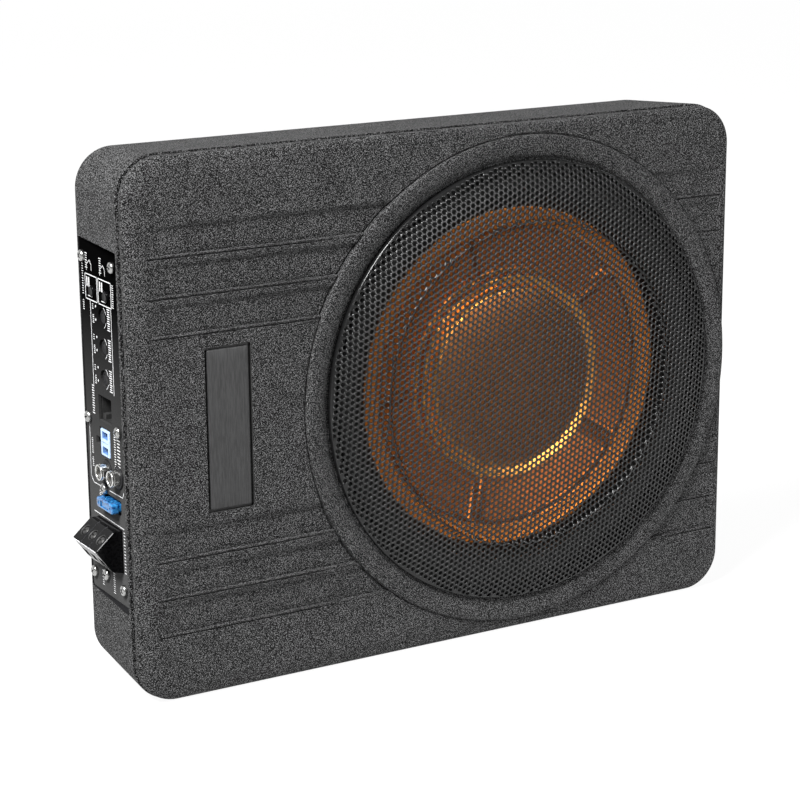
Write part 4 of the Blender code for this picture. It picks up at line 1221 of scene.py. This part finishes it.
def make_knobs():
    for label, z in TRIMMERS:
        dial = ((0, 5.5), (2.6, 5.5), (2.75, 5.3), (3.45, 5.3), (3.8, 5.8), (3.8, 9.7), (2.0, 9.7))
        profile = rounded(dial, 0.15, 2)
        shape = bmesh.new()
        add_turned(shape, (0, TRIMMER_Y, z), AXIS_X, [*profile, (2.0, 15.2), (0, 15.2)], 48)
        made = finish_mesh(f"{label}_dial", shape, ["matt", "dark"], 40, True)
        shape = bmesh.new()
        add_box(shape, (4.6, 6.5), (TRIMMER_Y - 2.6, TRIMMER_Y + 2.6), (z - 0.5, z + 0.5))
        turn_shape(shape, (5, TRIMMER_Y, z), radians(38), "X")
        # The slot's cut faces take deep black: painted shade in the slot.
        boolean(made, shape, material="dark")
        settle(made, f"{label}_knob", [f"{label}_knob"])
    for label, y in SWITCHES:
        profile = rounded(((0, 3.15), (1.5, 3.1), (2.3, 3.0), (2.8, 3.5), (2.8, 13.5)), 0.2, 3)
        shape = bmesh.new()
        add_turned(shape, (0, y, SWITCH_Z), AXIS_X, [*profile, (0, 13.5)], 40)
        made = finish_mesh(f"{label}_push_cap", shape, ["gloss"], 40, True)
        settle(made, f"{label}_button", [f"{label}_button"])


def add_rounded_block(shape, sides, rows, radius, steps):
    """A block along x through (inset, x) rows of one rounded outline."""
    low_y, high_y, low_z, high_z = sides
    loops = []
    for inset, x in rows:
        outline = rectangle(low_y + inset, high_y - inset, low_z + inset, high_z - inset, radius, steps)
        loops.append([(x, y, z) for y, z in outline])
    add_loft(shape, loops)


def make_rca_jacks():
    """Phono jacks: black foot ring, rolled nickel barrel, black insulator and a gold centre contact."""
    for label, y in (("rear", 39.6), ("front", 25.8)):
        centre = (0, y, 113.4)
        foot = rounded(((6.3, 21.7), (6.3, 6.3), (5.8, 6.3), (5.8, 3.9), (5.5, 3.5), (4.3, 3.5)), 0.25, 2)
        shape = bmesh.new()
        add_turned(shape, centre, AXIS_X, [*foot, (4.3, 8.0), (3.4, 8.0), (3.4, 21.7)], 48, 0)
        barrel = (
            (4.16, 4.4), (4.16, 0.6), (3.98, 0.45), (3.98, 0.1), (4.15, -0.05), (4.15, -0.45), (4.0, -0.7),
            (3.75, -0.8), (3.5, -0.78), (3.3, -0.6), (3.22, -0.3), (3.2, 2.4), (3.2, 7.5), (4.16, 7.5),
        )
        add_turned(shape, centre, AXIS_X, barrel, 48, 1)
        core = ((3.18, 7.4), (3.18, 1.2), (3.0, 0.95), (1.9, 0.95), (1.65, 1.2), (1.65, 7.4))
        add_turned(shape, centre, AXIS_X, core, 40, 2)
        pin = ((1.6, 7.4), (1.6, 1.7), (1.2, 1.5), (1.1, 1.7), (1.1, 7.4))
        add_turned(shape, centre, AXIS_X, pin, 32, 3)
        made = finish_mesh(f"phono_jack_{label}", shape, ["matt", "nickel", "dark", "gold"], 40, True)
        settle(made, replaces=[f"rca_jack_{label}"])


def make_high_level_header():
    """White nylon block with two pin pockets in a darker blue, painted shade, and a polarising rib."""
    low_y, high_y, low_z, high_z = 35.1, 45.8, 120.7, 134.5
    shape = bmesh.new()
    rows = ((0.35, 4.1), (0.1, 4.15), (0.0, 4.5), (0.0, 21.7))
    add_rounded_block(shape, (low_y, high_y, low_z, high_z), rows, 0.7, 4)
    made = finish_mesh("header_block", shape, ["nylon", "nylon_pocket_painted_shade"], 40, True)
    shape = bmesh.new()
    middle = (low_y + high_y) / 2
    for z in (123.7, 131.5):
        add_box(shape, (3.0, 9.0), (middle - 3.3, middle + 3.3), (z - 1.75, z + 1.75))
    # The pockets' cut faces take the darker blue: painted shade inside the pockets.
    boolean(made, shape, material="nylon_pocket_painted_shade")
    shape = bmesh.new()
    add_box(shape, (3.0, 4.7), (middle - 4.0, middle + 4.0), (127.35, 127.85))
    boolean(made, shape)
    settle(made, replaces=["high_level_socket"])
    shape = bmesh.new()
    for z in (123.7, 131.5):
        for y in (middle - 1.7, middle + 1.7):
            add_box(shape, (5.2, 9.4), (y - 0.4, y + 0.4), (z - 0.4, z + 0.4))
    made = finish_mesh("header_pins", shape, ["nickel"], 30, True)
    settle(made)


def make_fuse():
    """A blade fuse: clear blue body with a thinner middle, side ribs and flat blades."""
    low_y, high_y, low_z, high_z = 25.0, 44.1, 94.9, 100.1
    shape = bmesh.new()
    rows = ((0.7, -0.4), (0.3, -0.3), (0.05, 0.1), (0.0, 0.6), (0.0, 3.2), (0.45, 3.8), (0.45, 11.7))
    add_rounded_block(shape, (low_y, high_y, low_z, high_z), rows, 1.1, 5)
    made = finish_mesh("fuse_body", shape, ["fuse"], 40, True)
    shape = bmesh.new()
    middle = (low_z + high_z) / 2
    add_box(shape, (-1.0, 0.15), (low_y + 4.6, high_y - 4.6), (middle - 1.5, middle + 1.5))
    for y in (low_y + 2.4, high_y - 2.4):
        add_turned(shape, (0, y, middle), AXIS_X, ((0, -1.0), (0.8, -1.0), (0.8, 0.6), (0, 0.6)), 20)
    for y in (29.6, 32.2, 34.55, 36.9, 39.5):
        add_box(shape, (0.6, 3.0), (y - 0.5, y + 0.5), (low_z - 1.0, low_z + 0.35))
        add_box(shape, (0.6, 3.0), (y - 0.5, y + 0.5), (high_z - 0.35, high_z + 1.0))
    boolean(made, shape)
    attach(made, "blade_fuse")
    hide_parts("blade_fuse")
    shape = bmesh.new()
    for low, high in ((26.6, 31.8), (37.3, 42.5)):
        blade = ((low, 11.0), (high, 11.0), (high, 18.0), (high - 1.2, 19.0), (low + 1.2, 19.0), (low, 18.0))
        add_loft(shape, [[(x, y, z) for y, x in blade] for z in (middle - 0.35, middle + 0.35)])
    made = finish_mesh("fuse_blade_pair", shape, ["zinc"], 30, True)
    settle(made, "blade_fuse")


# --- power terminal ---

TERMINAL_Y = (24.1, 53.6)
TERMINAL = ((21.7, 86.3), (-0.2, 86.3), (-10.2, 77.5), (-1.7, 65.6), (4.4, 64.0), (21.7, 64.0))
WAY_PITCH, WIRE_DEPTH = 9.7, 10.1


def screw_face():
    top, tip = (Vector((x, 0, z)) for x, z in TERMINAL[1:3])
    along = (tip - top).normalized()
    return (top + tip) / 2, Vector((along.z, 0, -along.x)), along


def add_slanted_box(shape, centre, along, across, sizes):
    """A box square to two slanting directions, through half sizes along them and along y."""
    reach_a, reach_b = along * sizes[0], across * sizes[1]
    loops = []
    for side in (-sizes[2], sizes[2]):
        middle = centre + AXIS_Y * side
        loops.append([middle + reach_a * (2 * i - 1) + reach_b * (2 * j - 1) for i, j in CORNER_WALK])
    add_loft(shape, loops)


def make_terminal():
    """A three-way screw terminal: slanting screw and wire faces, a screw in a well over each wire chamber."""
    face, outward, along = screw_face()
    outline = [TERMINAL[0], *rounded(TERMINAL[0:5], 0.8, 4)[1:-1], TERMINAL[4], TERMINAL[5]]
    shape = bmesh.new()
    centre = sum((Vector(p) for p in outline), Vector((0, 0))) / len(outline)
    loops = []
    low_y, high_y = TERMINAL_Y
    for y, shrink in ((low_y, 0.35), (low_y + 0.35, 0.0), (high_y - 0.35, 0.0), (high_y, 0.35)):
        ring = []
        for x, z in outline:
            inward = (centre - Vector((x, z))).normalized() * shrink
            ring.append((x + (inward.x if x < 15 else 0), y, z + inward.y))
        loops.append(ring)
    add_loft(shape, loops)
    block = finish_mesh("terminal_housing", shape, ["gloss", "dark", "pale"], 30, True)
    tip, low = (Vector((x, 0, z)) for x, z in TERMINAL[2:4])
    wire = (low - tip).normalized()
    wire_in = Vector((-wire.z, 0, wire.x))
    middle = sum(TERMINAL_Y) / 2
    ways = [middle + WAY_PITCH * (i - 1) for i in range(3)]
    well = ((0, -2.0), (3.1, -2.0), (3.1, 0.0), (2.65, 0.35), (2.65, 3.0), (0, 3.0))
    chambers, wells, entries, lines = (bmesh.new() for _ in range(4))
    for y in ways:
        base = face + AXIS_Y * y
        add_slanted_box(chambers, base - outward * 8.75, outward, along, (6.05, 2.9, 4.45))
        add_turned(wells, base, -outward, well, 32)
        add_slanted_box(entries, base - outward * WIRE_DEPTH - wire_in * 5.0, wire_in, wire, (8.0, 2.6, 3.3))
    for y in (middle - WAY_PITCH / 2, middle + WAY_PITCH / 2):
        add_slanted_box(lines, face + AXIS_Y * y, along, outward, (9.0, 0.7, 0.4))
    # Chambers, wells and wire entries take deep black as painted shade inside them; the dividing grooves take
    # the lighter ferrite grey as painted highlight lines between the ways.
    for cutter, key in ((chambers, "dark"), (wells, "dark"), (entries, "dark"), (lines, "ferrite")):
        boolean(block, cutter, material=key)
    settle(block, replaces=["terminal_block"])
    # Pale strips along the tip edge of each way: painted highlight of the edge.
    shape = bmesh.new()
    for y in ways:
        centre = tip + wire * 0.9 - wire_in * 0.06 + AXIS_Y * y
        add_slanted_box(shape, centre, wire, wire_in, (0.75, 0.12, 4.3))
    made = finish_mesh("terminal_painted_edge_highlights", shape, ["pale"], 30, True)
    settle(made)
    for number, y in enumerate(ways, 1):
        base = face + AXIS_Y * y
        profile = rounded(((0, 0.3), (1.9, 0.35), (2.35, 0.75), (2.35, 2.4), (1.5, 2.4)), 0.25, 3)
        shape = bmesh.new()
        add_turned(shape, base, -outward, [*profile, (1.5, 8.0), (0, 8.0)], 40)
        # The dark steel head is painted shade in the well.
        screw = finish_mesh(f"clamp_screw_{number}", shape, ["shaded_head_steel", "nickel"], 40, True)
        shape = bmesh.new()
        add_slanted_box(shape, base - outward * 0.6, outward, along, (0.85, 0.5, 3.4))
        turn_shape(shape, base, radians((6, -9, 12)[number - 1]), outward)
        # The slot's cut faces take bright nickel: painted highlight of the slot.
        boolean(screw, shape, material="nickel")
        settle(screw, f"terminal_screw_{number}", [f"terminal_screw_{number}"])


# --- finishes of the CAD nodes that stay ---

KEPT = {
    "aluminium": ("heatsink",),
    "board": ("terminal_tab", "amp_board"),
    "copper": ("voice_coil", "choke"),
    "dark": ("remote_jack",),
    "ferrite": ("magnet",),
    "gloss": ("capacitor_1", "capacitor_2"),
    "matt": ("crossover_body", "boost_body", "gain_body", "phase_switch_body", "input_switch_body",
             "fuse_holder", "transistor_1", "transistor_2"),
    "panel": ("control_panel",),
    "rubber": ("speaker_cable",),
    "seal": ("driver_gasket",),
    "steel": ("driver_basket",),
    "zinc": ("top_plate", "yoke", "terminal_clamp_1", "terminal_clamp_2", "terminal_clamp_3"),
}


def refinish():
    for key, nodes in KEPT.items():
        for node in nodes:
            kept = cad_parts[node]
            if not kept.material_slots:
                kept.data.materials.append(FINISHES[key])
            for slot in kept.material_slots:
                slot.material = FINISHES[key]


def main():
    make_materials()
    add_camera()
    add_stage()
    make_front_cover()
    make_badge()
    make_rear_shell()
    make_seal()
    make_grille()
    make_cone()
    make_dust_cap()
    make_surround()
    make_spider()
    make_print()
    make_panel_screws()
    make_shell_screws()
    make_knobs()
    make_rca_jacks()
    make_high_level_header()
    make_fuse()
    make_terminal()
    refinish()


main()
